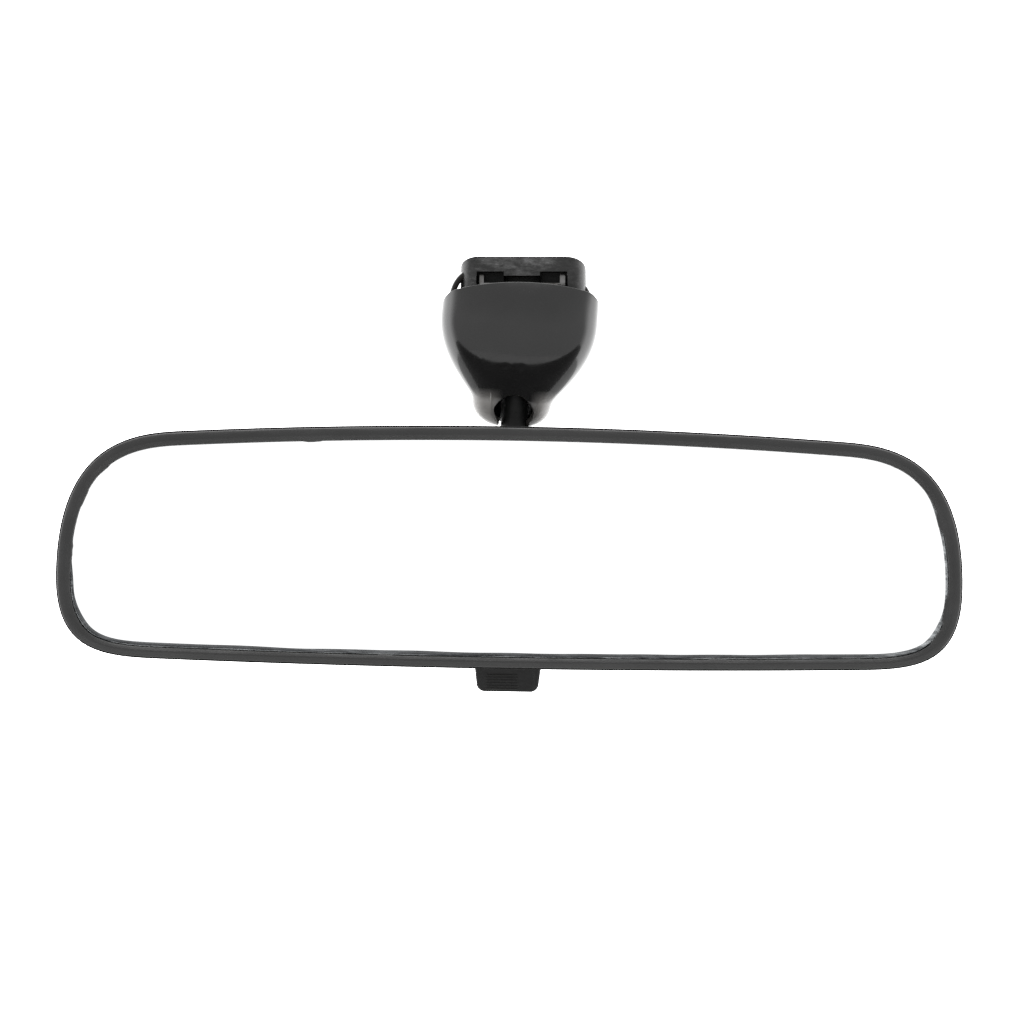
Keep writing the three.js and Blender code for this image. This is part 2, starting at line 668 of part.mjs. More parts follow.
// Side view of the cover's front: under the bulb, up the throat, over the belly to the top.
const COVER_FRONT = [
  new THREE.CubicBezierCurve(
    new THREE.Vector2(37, 33.4), new THREE.Vector2(31.5, 33.4),
    new THREE.Vector2(28, 35.5), new THREE.Vector2(28.5, 41.5),
  ),
  new THREE.CubicBezierCurve(
    new THREE.Vector2(28.5, 41.5), new THREE.Vector2(27, 46),
    new THREE.Vector2(22.5, 52.5), new THREE.Vector2(22.5, 60.5),
  ),
  new THREE.CubicBezierCurve(
    new THREE.Vector2(22.5, 60.5), new THREE.Vector2(22.5, 66),
    new THREE.Vector2(26.5, 72.5), new THREE.Vector2(32, 80),
  ),
];

// Value of a rising chain of curves at height z.
function valueAt(chain, z) {
  const curve = chain.find((part) => z <= part.v3.y) ?? chain[chain.length - 1];
  let [low, high] = [0, 1];
  for (let i = 0; i < 30; i += 1) {
    const middle = (low + high) / 2;
    if (curve.getPoint(middle).y < z) {
      low = middle;
    } else {
      high = middle;
    }
  }
  return curve.getPoint((low + high) / 2).x;
}

function ovalRing(count, place) {
  const power = 2 / SECTION_POWER;
  return Array.from({ length: count }, (_, i) => {
    const angle = (i / count) * 2 * Math.PI;
    const across = Math.sign(Math.cos(angle)) * Math.abs(Math.cos(angle)) ** power;
    const along = Math.sign(Math.sin(angle)) * Math.abs(Math.sin(angle)) ** power;
    return place(across, along);
  });
}

// The front cover's hull, shrunk by `wall`; horizontal sections about the seam plane.
function frontCoverHull(wall) {
  const foot = COVER_SIDE[0].v0.y + wall;
  const crown = COVER_SIDE[2].v3.y;
  const levels = [0.6, 2, 4, 6.5, 9.5, 13, 17, 21, 25, 29, 33, 37].map((rise) => foot + rise);
  const rings = [...levels, crown].map((z) => {
    const half = valueAt(COVER_SIDE, z) - wall;
    const front = COVER_SEAM - valueAt(COVER_FRONT, z) - wall;
    return ovalRing(40, (across, along) => new THREE.Vector3(
      half * across,
      COVER_SEAM + (along < 0 ? front : 8) * along,
      z,
    ));
  });
  return solid(loft([[new THREE.Vector3(0, COVER_SEAM, foot)], ...rings]));
}

// Outline that trims the front cover's top to a low arch with round shoulders.
function coverTrim() {
  const arch = COVER_TOP_ARCH;
  const shape = new THREE.Shape();
  shape.moveTo(-30, 30);
  shape.lineTo(30, 30);
  shape.lineTo(30, 64.1);
  shape.lineTo(23.4, 64.1);
  shape.bezierCurveTo(23.4, 68.2, 22, 71.9, arch.edge, arch.edgeZ);
  shape.quadraticCurveTo(arch.control, arch.centreZ, 0, arch.centreZ);
  shape.quadraticCurveTo(-arch.control, arch.centreZ, -arch.edge, arch.edgeZ);
  shape.bezierCurveTo(-22, 71.9, -23.4, 68.2, -23.4, 64.1);
  shape.lineTo(-30, 64.1);
  const options = { depth: 60, bevelEnabled: false, curveSegments: 8 };
  return solid(new THREE.ExtrudeGeometry(shape, options).rotateX(Math.PI / 2).translate(0, 60, 0));
}

// Slot between the two lobes of the bulb, through which the stay shows.
function throatSlot() {
  const shape = new THREE.Shape();
  shape.moveTo(-4.1, 30);
  shape.lineTo(4.1, 30);
  shape.lineTo(4.1, 34.4);
  shape.quadraticCurveTo(6.1, 36.6, 5.8, 38.6);
  shape.quadraticCurveTo(4, 42.4, 0, 42.8);
  shape.quadraticCurveTo(-4, 42.4, -5.8, 38.6);
  shape.quadraticCurveTo(-6.1, 36.6, -4.1, 34.4);
  const options = { depth: 20, bevelEnabled: false, curveSegments: 5 };
  return solid(new THREE.ExtrudeGeometry(shape, options)
    .rotateX(Math.PI / 2)
    .translate(THROAT_SHIFT, COVER_SEAM + 1, 0));
}

function stayPassage() {
  const radius = STAY_RADIUS + 0.5;
  return solid(new THREE.CylinderGeometry(radius, radius, 8, 28)
    .rotateX(Math.PI / 2)
    .translate(0, STAY_Y, 34));
}

// The cover leans a little sideways on the stay; its top edge leans back the other way.
function leaning(manifold, angle = COVER_LEAN.angle) {
  return manifold
    .translate([0, 0, -COVER_LEAN.pivotZ])
    .rotate([0, angle / DEG, 0])
    .translate([0, 0, COVER_LEAN.pivotZ]);
}

function armCoverFront() {
  const shell = frontCoverHull(0)
    .subtract(frontCoverHull(COVER_WALL))
    .intersect(box([-40, 0, 20], [40, COVER_SEAM, 90]))
    .subtract(throatSlot());
  return geometryOf(leaning(shell)
    .intersect(leaning(coverTrim(), COVER_LEAN.trimAngle))
    .subtract(stayPassage())
    .subtract(baseBlank(0.4)));
}

// Sections of the rear cover from its foot to the seat: centre y and z, tilt in degrees,
// half-width, and reach to the back and to the front. The last one is trimmed off.
const REAR_SECTIONS = [
  { y: 37, z: 35, tilt: 0, half: 7.5, back: 7, front: 7 },
  { y: 37, z: 38.5, tilt: 0, half: 10.2, back: 9.4, front: 10 },
  { y: 37.8, z: 42, tilt: 3, half: 11.2, back: 10, front: 13 },
  { y: 41, z: 48.5, tilt: 10, half: 16.1, back: 11.8, front: 20 },
  { y: 45.5, z: 56, tilt: 18, half: 20.2, back: 14.5, front: 26 },
  { y: 49.5, z: 64.3, tilt: 26, half: 21.5, back: 16.8, front: 28 },
  { y: 52.2, z: 71.9, tilt: 30, half: 21, back: 17.3, front: 17.3 },
  { y: 56, z: 78.5, tilt: 30, half: 20.7, back: 17.2, front: 17.2 },
];

function rearCoverHull(wall) {
  const curveOf = (read) => new THREE.CatmullRomCurve3(
    REAR_SECTIONS.map((part) => new THREE.Vector3(...read(part))),
  );
  const spine = curveOf((part) => [part.y, part.z, part.tilt * DEG]);
  const spread = curveOf((part) => [part.half, part.back, part.front]);
  const steps = 2 * (REAR_SECTIONS.length - 1);
  const rings = Array.from({ length: steps + 1 }, (_, i) => {
    const place = spine.getPoint(i / steps);
    const size = spread.getPoint(i / steps).subScalar(wall);
    const lift = i === 0 ? wall * 0.8 : 0;
    return ovalRing(36, (across, along) => {
      const reach = along * (along < 0 ? size.z : size.y);
      return new THREE.Vector3(
        size.x * across,
        place.x + reach * Math.cos(place.z),
        place.y + lift - reach * Math.sin(place.z),
      );
    });
  });
  const foot = new THREE.Vector3(0, COVER_SEAM, 33.6 + wall);
  return solid(loft([[foot], ...rings]));
}

// A slab under the seat face, between two depths below it.
function seatSlab(from, to, half = 60) {
  const geometry = new THREE.BoxGeometry(2 * half, 2 * half, to - from)
    .translate(0, 0, -(from + to) / 2)
    .rotateX(-SEAT_RAKE);
  return solid(geometry.translate(SEAT.x, SEAT.y, SEAT.z));
}

// A solid drawn in the base's own frame: x across, y down the glass, z out of the seat.
function inSeatFrame(manifold) {
  return manifold
    .rotate([0, 0, BASE_TURN / DEG])
    .rotate([-SEAT_RAKE / DEG, 0, 0])
    .translate([SEAT.x, SEAT.y, SEAT.z]);
}

// A solid drawn upright at the seat, turned with the base.
function turnedWithBase(manifold) {
  return inSeatFrame(manifold
    .translate([-SEAT.x, -SEAT.y, -SEAT.z])
    .rotate([SEAT_RAKE / DEG, 0, 0]));
}

const COVER_SCREW = { y: 58.4, z: 51.6, lean: 48.4 * DEG };
const COVER_SCREW_AXIS = new THREE.Vector3(0, -Math.cos(COVER_SCREW.lean), Math.sin(COVER_SCREW.lean));

// A round bar on the cover screw's axis between two distances from the cover's skin.
function onCoverScrew(radius, from, to, sides = 20) {
  const geometry = new THREE.CylinderGeometry(radius, radius, to - from, sides)
    .rotateX(Math.PI / 2)
    .translate(0, 0, (from + to) / 2)
    .rotateX(Math.PI / 2 - COVER_SCREW.lean);
  return solid(geometry.translate(0, COVER_SCREW.y, COVER_SCREW.z));
}

function armCoverRear() {
  const buttonWay = inSeatFrame(box([-12.5, 12, -6.5], [12.5, 60, 6]));
  const shell = rearCoverHull(0)
    .subtract(rearCoverHull(COVER_WALL))
    .intersect(box([-40, COVER_SEAM + GAP, 20], [40, 90, 90]));
  return geometryOf(leaning(shell)
    .intersect(seatSlab(1, 60))
    .subtract(stayPassage())
    .subtract(baseBlank(0.4))
    .subtract(buttonWay)
    .subtract(onCoverScrew(1.9, -6, 6))
    .subtract(onCoverScrew(3.1, -6, -0.3)));
}

// ------------------------------------------------------------------ windshield base

// The base's outer form grown by `grow`: an upright prism between the seat face and its
// underside, with round front corners and a round rear end.
function baseBlank(grow) {
  const half = BASE.halfWidth + grow;
  const front = BASE.front - grow;
  const radius = BASE.corner + grow;
  const shape = new THREE.Shape();
  shape.moveTo(-half + radius, front);
  shape.lineTo(half - radius, front);
  shape.absarc(half - radius, front + radius, radius, -Math.PI / 2, 0);
  shape.lineTo(half, 47);
  shape.absellipse(0, 47, half, BASE.rear + grow - 47, 0, Math.PI);
  shape.lineTo(-half, front + radius);
  shape.absarc(-half + radius, front + radius, radius, Math.PI, 1.5 * Math.PI);
  const options = { depth: 60, bevelEnabled: false, curveSegments: 10 };
  const prism = solid(new THREE.ExtrudeGeometry(shape, options).translate(0, 0, 40));
  return turnedWithBase(prism).intersect(seatSlab(-grow - 1e-3, BASE.thickness + grow));
}

function mountBase() {
  const withinCover = leaning(rearCoverHull(COVER_WALL + 0.5)).add(box([-30, 20, 50], [30, 43, 95]));
  const slot = BUTTON_SLOT;
  const channel = box([-slot.mouth, slot.start, -slot.lip - 0.5], [slot.mouth, slot.length, 5])
    .add(box([-slot.halfWidth, slot.start, -slot.depth], [slot.halfWidth, slot.length, -slot.lip]));
  const notches = mirrored((side) => box(
    [side * NOTCH.x - NOTCH.width / 2, BASE.front - 2, 60],
    [side * NOTCH.x + NOTCH.width / 2, BASE.front + NOTCH.depth, NOTCH.top],
  ));
  const groove = box([-13, BASE.front - 2, 60], [13, BASE.front + NOTCH.depth, BASE_GROOVE_TOP]);
  const screwHoles = mirrored((side) => inSeatFrame(solid(
    new THREE.CylinderGeometry(1.5, 1.5, 8, 16)
      .rotateX(Math.PI / 2)
      .translate(side * BASE_SCREW.x, BASE_SCREW.along, -BASE.thickness + 3),
  )));
  const post = onCoverScrew(3.2, 2.6, 14);
  const blank = baseBlank(0).intersect(withinCover);
  return geometryOf(blank
    .add(post)
    .intersect(seatSlab(0, 60))
    .subtract(inSeatFrame(channel))
    .subtract(turnedWithBase(notches[0].add(notches[1]).add(groove)))
    .subtract(screwHoles[0])
    .subtract(screwHoles[1])
    .subtract(onCoverScrew(1.3, 0, 9.8, 16)));
}

// Spring clip: a bar in the base's groove with two tongues that stand up in the notches.
function retainingClip() {
  const front = BASE.front + 1.6;
  const back = BASE.front + NOTCH.depth - 0.4;
  const bar = box([-12.2, front, 74.2], [12.2, back, 74.2 + CLIP_THICKNESS]);
  const tongues = mirrored((side) => {
    const [low, high] = side > 0 ? [6, 12.2] : [-12.2, -6];
    return box([low, front, 74.4], [high, front + CLIP_THICKNESS, 77.4]);
  });
  return geometryOf(turnedWithBase(bar.add(tongues[0]).add(tongues[1])));
}

// ------------------------------------------------------------------ stay

function stayArm() {
  const top = SEAT.z;
  const profile = [
    new THREE.Vector2(0, NECK_TOP + GAP),
    new THREE.Vector2(STAY_RADIUS - 0.5, NECK_TOP + GAP),
    new THREE.Vector2(STAY_RADIUS, NECK_TOP + GAP + 0.5),
    new THREE.Vector2(STAY_RADIUS, 38),
    new THREE.Vector2(5.4, 50),
    new THREE.Vector2(6.6, 62),
    new THREE.Vector2(7.4, 68),
    new THREE.Vector2(7.4, top),
    new THREE.Vector2(0, top),
  ];
  const column = solid(new THREE.LatheGeometry(profile, 28).rotateX(Math.PI / 2).translate(0, STAY_Y, 0));
  const under = BASE.thickness + GAP;
  const flange = inSeatFrame(box(
    [-FLANGE.halfWidth, FLANGE.from, -under - FLANGE.thickness],
    [FLANGE.halfWidth, FLANGE.to, -under],
  ));
  const holes = mirrored((side) => inSeatFrame(solid(
    new THREE.CylinderGeometry(1.6, 1.6, 12, 16)
      .rotateX(Math.PI / 2)
      .translate(side * BASE_SCREW.x, BASE_SCREW.along, -under - FLANGE.thickness / 2),
  )));
  const bore = solid(new THREE.CylinderGeometry(SPIGOT_RADIUS + 0.1, SPIGOT_RADIUS + 0.1, 16, 24)
    .rotateX(Math.PI / 2)
    .translate(0, STAY_Y, SPIGOT_TOP + GAP - 8));
  const pinHole = barX(CROSS_PIN.radius + PIN_CLEARANCE, 20, 0, STAY_Y, CROSS_PIN.z);
  return geometryOf(column
    .intersect(seatSlab(under, 90))
    .add(flange)
    .subtract(holes[0])
    .subtract(holes[1])
    .subtract(bore)
    .subtract(pinHole)
    .subtract(onCoverScrew(3.6, 0, 15)));
}

// ------------------------------------------------------------------ materials and assembly

const FINISHES = {
  glossBlack: { color: 0x17171a, roughness: 0.12, metalness: 0 },
  satinBlack: { color: 0x2e2e31, roughness: 0.5, metalness: 0 },
  leverBlack: { color: 0x1f2023, roughness: 0.55, metalness: 0 },
  baseBlack: { color: 0x3a3a3c, roughness: 0.45, metalness: 0.1 },
  silvered: { color: 0xf4f6f8, roughness: 0.02, metalness: 1 },
  backing: { color: 0x26262a, roughness: 0.8, metalness: 0 },
  foam: { color: 0x3b3b3f, roughness: 0.95, metalness: 0 },
  zinc: { color: 0x9a9da1, roughness: 0.4, metalness: 0.9 },
  blackSteel: { color: 0x1c1d1f, roughness: 0.35, metalness: 0.6 },
  steel: { color: 0xb9bcc0, roughness: 0.28, metalness: 1 },
  nylon: { color: 0xdedbd0, roughness: 0.5, metalness: 0 },
};

function piece(name, geometry, finish, position = [0, 0, 0], rotation = [0, 0, 0]) {
  const mesh = new THREE.Mesh(geometry, new THREE.MeshStandardMaterial(FINISHES[finish]));
  mesh.name = name;
  mesh.position.set(...position);
  mesh.rotation.set(...rotation);
  return mesh;
}

function mountPieces() {
  const group = new THREE.Group();
  const ballAt = BALL.toArray();
  group.add(piece('mount_base', mountBase(), 'baseBlack'));
  group.add(piece('retaining_clip', retainingClip(), 'steel'));
  group.add(piece('stay_arm', stayArm(), 'blackSteel'));
  group.add(piece('ball_stud', ballStud(), 'blackSteel', ballAt));
  const crossPin = pinX(CROSS_PIN.radius, CROSS_PIN.length);
  group.add(piece('stud_cross_pin', crossPin, 'steel', [0, STAY_Y, CROSS_PIN.z]));
  group.add(piece('arm_cover_front', armCoverFront(), 'glossBlack'));
  group.add(piece('arm_cover_rear', armCoverRear(), 'glossBlack'));
  const screwLean = [Math.PI / 2 - COVER_SCREW.lean, 0, 0];
  group.add(piece(
    'cover_screw',
    panScrew(1.15, 9.5, 2.7, 1.7),
    'steel',
    [0, COVER_SCREW.y - COVER_SCREW_AXIS.y * 0.6, COVER_SCREW.z - COVER_SCREW_AXIS.z * 0.6],
    screwLean,
  ));
  group.add(baseScrews());
  return group;
}

// The two screws stand on the flange's underside and point out of the seat face.
function baseScrews() {
  const seat = new THREE.Group();
  seat.position.copy(SEAT);
  seat.rotation.set(-SEAT_RAKE, 0, BASE_TURN);
  const under = BASE.thickness + GAP + FLANGE.thickness + 0.15;
  mirrored((side) => {
    const name = side < 0 ? 'base_screw_left' : 'base_screw_right';
    const position = [side * BASE_SCREW.x, BASE_SCREW.along, -under];
    seat.add(piece(name, panScrew(1.35, BASE_SCREW.length, 2.5, 1.7), 'steel', position));
  });
  return seat;
}

function headPieces() {
  const group = new THREE.Group();
  const ballAt = BALL.toArray();
  const padY = glassBack(0) + 2 * GAP + BACKING_THICKNESS + 1;
  const pivot = [0, FLIP_PIVOT.x, FLIP_PIVOT.y];
  const hinge = [0, LEVER_PIVOT.x, LEVER_PIVOT.y];
  group.add(piece('mirror_case', mirrorCase(), 'satinBlack'));
  group.add(piece('bezel', bezelRing(), 'satinBlack'));
  group.add(piece('prism_glass', prismGlass(), 'silvered'));
  group.add(piece('glass_backing', glassBacking(), 'backing'));
  mirrored((side) => {
    const end = side < 0 ? 'left' : 'right';
    group.add(piece(`glass_pad_${end}`, glassPad(), 'foam', [side * PAD_X, padY + PAD_SIZE[1], 0]));
    group.add(piece(`pin_clip_${end}`, retainingRing(), 'steel', [side * 17.9, ...pivot.slice(1)]));
  });
  group.add(piece('flip_pivot_pin', pinX(FLIP_PIN_RADIUS, 38), 'steel', pivot));
  group.add(piece('lever_pin', pinX(LEVER_PIN_RADIUS, 25), 'steel', hinge));
  group.add(piece('detent_spring', detentSpring(), 'steel'));
  group.add(piece(
    'detent_screw',
    panScrew(1.1, 3.2, 2.2, 1.3),
    'steel',
    [0, DETENT.y - 0.15, DETENT.screwZ],
    [-Math.PI / 2, 0, 0],
  ));
  group.add(leverPieces(hinge));
  group.add(piece('toggle_bracket', toggleBracket(), 'zinc'));
  group.add(piece('socket_collar', socketCollar(), 'zinc'));
  group.add(piece('preload_washer', preloadWasher(), 'steel', ballAt));
  group.add(piece('ball_seat', ballShell(SEAT_SHELL, MOUTH_ANGLE, Math.PI, 10), 'nylon', ballAt));
  group.add(piece('seat_clamp_ring', ballShell(CLAMP_SHELL, 58 * DEG, 125 * DEG, 6), 'steel', ballAt));
  return group;
}

// The lever rests in its day position: crank forward, tab swung to the back.
function leverPieces(hinge) {
  const lever = new THREE.Group();
  lever.position.set(...hinge);
  lever.rotation.x = LEVER_SWING;
  lever.add(piece('day_night_lever', dayNightLever(), 'leverBlack'));
  lever.add(piece('lever_link_pin', pinX(CRANK_PIN_RADIUS, 15), 'steel', [0, 0, CRANK_RADIUS]));
  return lever;
}

function assemble() {
  const mirror = new THREE.Group();
  mirror.position.set(-SEAT.x, -SEAT.y, -SEAT.z);
  mirror.add(mountPieces());
  const turned = new THREE.Group();
  turned.position.copy(BALL);
  turned.rotation.y = -HEAD_ROLL;
  const head = headPieces();
  head.position.copy(BALL).negate();
  turned.add(head);
  mirror.add(turned);
  const part = new THREE.Group();
  part.add(mirror);
  part.updateMatrixWorld(true);
  return part;
}

export default assemble();
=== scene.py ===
"""Looks of the interior rearview mirror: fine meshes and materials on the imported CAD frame.

Shapes are drawn in millimetres in the design frame, whose origin is the centre of the head's
front face: x along the head, y back from the glass side, z up. TO_MOUNT, TO_COVER, TO_SEAT,
TO_BASE, TO_HEAD and TO_LEVER turn those points into metres in the row frame.
"""

import itertools
import json
from math import asin, atan2, copysign, cos, exp, hypot, pi, radians, sin, sqrt

import bmesh
import bpy
from mathutils import Matrix, Vector, noise


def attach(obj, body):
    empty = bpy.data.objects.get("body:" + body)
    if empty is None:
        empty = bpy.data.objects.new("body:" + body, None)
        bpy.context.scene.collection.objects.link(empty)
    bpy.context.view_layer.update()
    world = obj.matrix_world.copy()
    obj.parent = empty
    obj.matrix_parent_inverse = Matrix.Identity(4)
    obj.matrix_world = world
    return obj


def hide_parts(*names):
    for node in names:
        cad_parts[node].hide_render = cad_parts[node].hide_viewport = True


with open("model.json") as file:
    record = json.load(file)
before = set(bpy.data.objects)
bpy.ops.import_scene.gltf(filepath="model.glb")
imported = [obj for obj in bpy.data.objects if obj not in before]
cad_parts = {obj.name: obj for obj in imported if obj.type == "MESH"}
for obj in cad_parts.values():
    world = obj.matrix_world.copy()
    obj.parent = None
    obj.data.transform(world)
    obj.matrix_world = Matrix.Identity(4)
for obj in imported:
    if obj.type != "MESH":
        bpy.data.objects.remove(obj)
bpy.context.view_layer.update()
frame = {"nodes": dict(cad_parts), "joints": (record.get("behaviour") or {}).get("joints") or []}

# ---- places from the frame

MM = 0.001
JOINTS = {joint["name"]: joint for joint in frame["joints"]}
BALL_AT = Vector(JOINTS["pan"]["pos_m"])
FLIP_AXIS = JOINTS["night_flip"]["axis"]
HEAD_ROLL = atan2(-FLIP_AXIS[2], -FLIP_AXIS[0])
LEVER_AT = Vector(JOINTS["lever_pivot"]["pos_m"])

BALL = Vector((0, 24, 6))
LEVER_SWING = radians(24)
TO_MOUNT = Matrix.Translation(BALL_AT) @ Matrix.Scale(MM, 4) @ Matrix.Translation(-BALL)
ROLLED = Matrix.Rotation(-HEAD_ROLL, 4, "Y") @ Matrix.Scale(MM, 4)
TO_HEAD = Matrix.Translation(BALL_AT) @ ROLLED @ Matrix.Translation(-BALL)
TO_LEVER = Matrix.Translation(LEVER_AT) @ ROLLED @ Matrix.Rotation(LEVER_SWING, 4, "X")

# ---- driving dimensions, mm

HALF_WIDTH = 125.35
TOP = 33.5
BOTTOM = 33.65
WIDEST_Z = -9.4
TOP_CROWN = {"radius": 1500, "end": 90.5, "handle": 12.2, "side_handle": 38.3}
BOTTOM_CROWN = {"radius": 3750, "end": 96.7, "handle": 15.6, "side_handle": 21.6}
OUTLINE_POINTS = 1200

CASE_FRONT = 1.5
CASE_WALL = 2.2
SIDE_DEPTH = 14
CASE_DEPTH = 26
BACK_ROUND = 13
BACK_CROWN = 0.8
END_SLIMMING = 0.35
BACK_HOLE_RADIUS = 17.4
LEVER_SLOT = ((-9.7, 7.8, -38), (9.7, 21.4, -29.2))

BEZEL_RIM = 0.45
BEZEL_OUTER = 1.25
BEZEL_INNER = 4
BEZEL_SKIRT = 6.8
LOWER_FACTOR = 0.8
GLASS_INSET = 2.85
GLASS_FRONT = 1.9
GLASS_THICKNESS = (3, 6)

RIGHTWARD = Vector((1, 0, 0))
BACKWARD = Vector((0, 1, 0))
UPWARD = Vector((0, 0, 1))

NECK_RISE = radians(35)
NECK_STRAIGHT = 13.5
NECK_BEND = 6
BALL_RADIUS = 8.5
NECK_RADIUS = 3.75
NECK_AHEAD = Vector((0, cos(NECK_RISE), sin(NECK_RISE)))
STAY_Y = BALL.y + NECK_STRAIGHT * NECK_AHEAD.y + NECK_BEND * (1 - NECK_AHEAD.z)

SEAT = Vector((0, 38, 80.1))
SEAT_RAKE = radians(30)
COVER_WALL = 1.8
COVER_SEAM = 37
COVER_SPAN = (20.5, 14.5)
SECTION_POWER = 2.7
LOBES_TOP = 44
COVER_LEAN = radians(2.6)
COVER_TRIM_TURN = radians(-2)
COVER_PIVOT = Vector((0, 0, 70))
BASE_TURN = radians(-5)

LEANING = (
    Matrix.Translation(COVER_PIVOT)
    @ Matrix.Rotation(COVER_LEAN, 4, "Y")
    @ Matrix.Translation(-COVER_PIVOT)
)
TO_COVER = TO_MOUNT @ LEANING
TO_SEAT = (
    TO_MOUNT
    @ Matrix.Translation(SEAT)
    @ Matrix.Rotation(-SEAT_RAKE, 4, "X")
    @ Matrix.Rotation(BASE_TURN, 4, "Z")
)
TO_BASE = TO_SEAT @ Matrix.Rotation(SEAT_RAKE, 4, "X") @ Matrix.Translation(-SEAT)

# ---- mesh helpers


def make_object(name, vertices, faces, place, smooth_angle=35):
    """A mesh object from points in the design frame, smooth except at edges over the angle."""
    mesh = bpy.data.meshes.new(name)
    mesh.from_pydata([place @ Vector(v) for v in vertices], [], faces)
    mesh.validate()
    made = bpy.data.objects.new(name, mesh)
    bpy.context.scene.collection.objects.link(made)
    face_outwards(made)
    shade(made, smooth_angle)
    return made


def face_outwards(made):
    work = bmesh.new()
    work.from_mesh(made.data)
    bmesh.ops.remove_doubles(work, verts=work.verts, dist=2e-7)
    bmesh.ops.recalc_face_normals(work, faces=work.faces)
    work.to_mesh(made.data)
    work.free()


def shade(made, smooth_angle):
    made.data.shade_smooth()
    made.data.set_sharp_from_angle(angle=radians(smooth_angle))


def apply_modifiers(made, smooth_angle=35):
    """Makes the modified mesh the object's own mesh."""
    graph = bpy.context.evaluated_depsgraph_get()
    fresh = bpy.data.meshes.new_from_object(made.evaluated_get(graph))
    made.modifiers.clear()
    made.data = fresh
    shade(made, smooth_angle)
    return made


def carve(made, tools, operation="DIFFERENCE", smooth_angle=35):
    """Takes the tool objects away from the piece (or joins them to it)."""
    for tool in tools:
        cut = made.modifiers.new("carve", "BOOLEAN")
        cut.object = tool
        cut.operation = operation
        cut.solver = "EXACT"
    apply_modifiers(made, smooth_angle)
    for tool in tools:
        bpy.data.objects.remove(tool)
    return made


def round_edges(made, width, segments):
    bevel = made.modifiers.new("round", "BEVEL")
    bevel.width = width * MM
    bevel.segments = segments
    bevel.limit_method = "ANGLE"
    bevel.angle_limit = radians(40)
    return apply_modifiers(made)


def thicken(made, wall, offset):
    """Adds a wall modifier: inside the sheet at offset -1, on both sides of it at 0."""
    solid = made.modifiers.new("wall", "SOLIDIFY")
    solid.thickness = wall * MM
    solid.offset = offset
    return solid


def loft(rings, closed=False, first_end=True):
    """Vertices and faces of a skin over rings of equal counts; open ends get one flat face."""
    size = len(rings[0])
    vertices = [point for ring in rings for point in ring]
    faces = []
    spans = len(rings) if closed else len(rings) - 1
    for i in range(spans):
        here, there = i * size, (i + 1) % len(rings) * size
        for k in range(size):
            after = (k + 1) % size
            faces.append((here + k, here + after, there + after, there + k))
    if not closed:
        faces.append(tuple(range(len(vertices) - size, len(vertices))))
        if first_end:
            faces.append(tuple(range(size)))
    return vertices, faces


def grid(rows):
    """Vertices and faces of an open sheet of equal rows."""
    size = len(rows[0])
    vertices = [point for row in rows for point in row]
    faces = [
        (i * size + k, i * size + k + 1, (i + 1) * size + k + 1, (i + 1) * size + k)
        for i in range(len(rows) - 1)
        for k in range(size - 1)
    ]
    return vertices, faces


def turned(profile, sides, direction, centre):
    """Rings of a solid of revolution: profile of (radius, height) along a direction."""
    turn = Vector((0, 0, 1)).rotation_difference(direction)
    angles = [2 * pi * k / sides for k in range(sides)]
    return [
        [centre + turn @ Vector((r * cos(a), r * sin(a), h)) for a in angles]
        for r, h in profile
    ]


def arc(radius, start, end, steps, centre=(0, 0)):
    """Points of a circular arc between two angles in degrees."""
    turns = [radians(start + (end - start) * i / steps) for i in range(steps + 1)]
    return [(centre[0] + radius * cos(t), centre[1] + radius * sin(t)) for t in turns]


def bezier(points, share):
    """Point of a Bezier curve of any degree."""
    points = [Vector(point) for point in points]
    while len(points) > 1:
        points = [a.lerp(b, share) for a, b in zip(points, points[1:])]
    return points[0]


def resampled(points, count):
    """The same line with evenly spaced points."""
    points = [Vector(point) for point in points]
    travel = [0.0]
    for a, b in zip(points, points[1:]):
        travel.append(travel[-1] + (b - a).length)
    made, span = [], 0
    for i in range(count):
        target = travel[-1] * i / (count - 1)
        while span < len(points) - 2 and travel[span + 1] < target:
            span += 1
        share = (target - travel[span]) / max(travel[span + 1] - travel[span], 1e-9)
        made.append(points[span].lerp(points[span + 1], min(share, 1)))
    return made


def smoothstep(low, high, value):
    share = min(max((value - low) / (high - low), 0), 1)
    return share * share * (3 - 2 * share)


def bisect(low, high, is_below):
    """The value between low and high where is_below turns from true to false."""
    for _ in range(30):
        middle = (low + high) / 2
        low, high = (middle, high) if is_below(middle) else (low, middle)
    return (low + high) / 2


def box_object(name, low, high, place):
    """A closed box between two corners."""
    corners = [Vector((x, y, z)) for x, y, z in itertools.product(*zip(low, high))]
    faces = [(0, 1, 3, 2), (4, 6, 7, 5), (0, 4, 5, 1), (2, 3, 7, 6), (0, 2, 6, 4), (1, 5, 7, 3)]
    return make_object(name, corners, faces, place)


def rod_object(name, radius, ends, direction, centre, place, sides=24):
    """A round rod between two distances along a direction, used to carve holes."""
    rings = turned([(radius, end) for end in ends], sides, direction, centre)
    return make_object(name, *loft(rings), place)


def give_materials(made, materials):
    for material in materials:
        made.data.materials.append(material)


def finish_piece(made, body, slot, replaced, *materials):
    """Gives a piece its materials and its body, and hides the CAD nodes it stands for; the slot
    argument is not used.
    """
    give_materials(made, materials)
    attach(made, body)
    if replaced:
        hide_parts(*replaced)
    return made


def choose_faces(made, place, chosen):
    """Gives the second material to the faces whose centres, in the design frame, are chosen."""
    to_design = place.inverted()
    for face in made.data.polygons:
        face.material_index = 1 if chosen(to_design @ face.center) else 0


# ---- material helpers


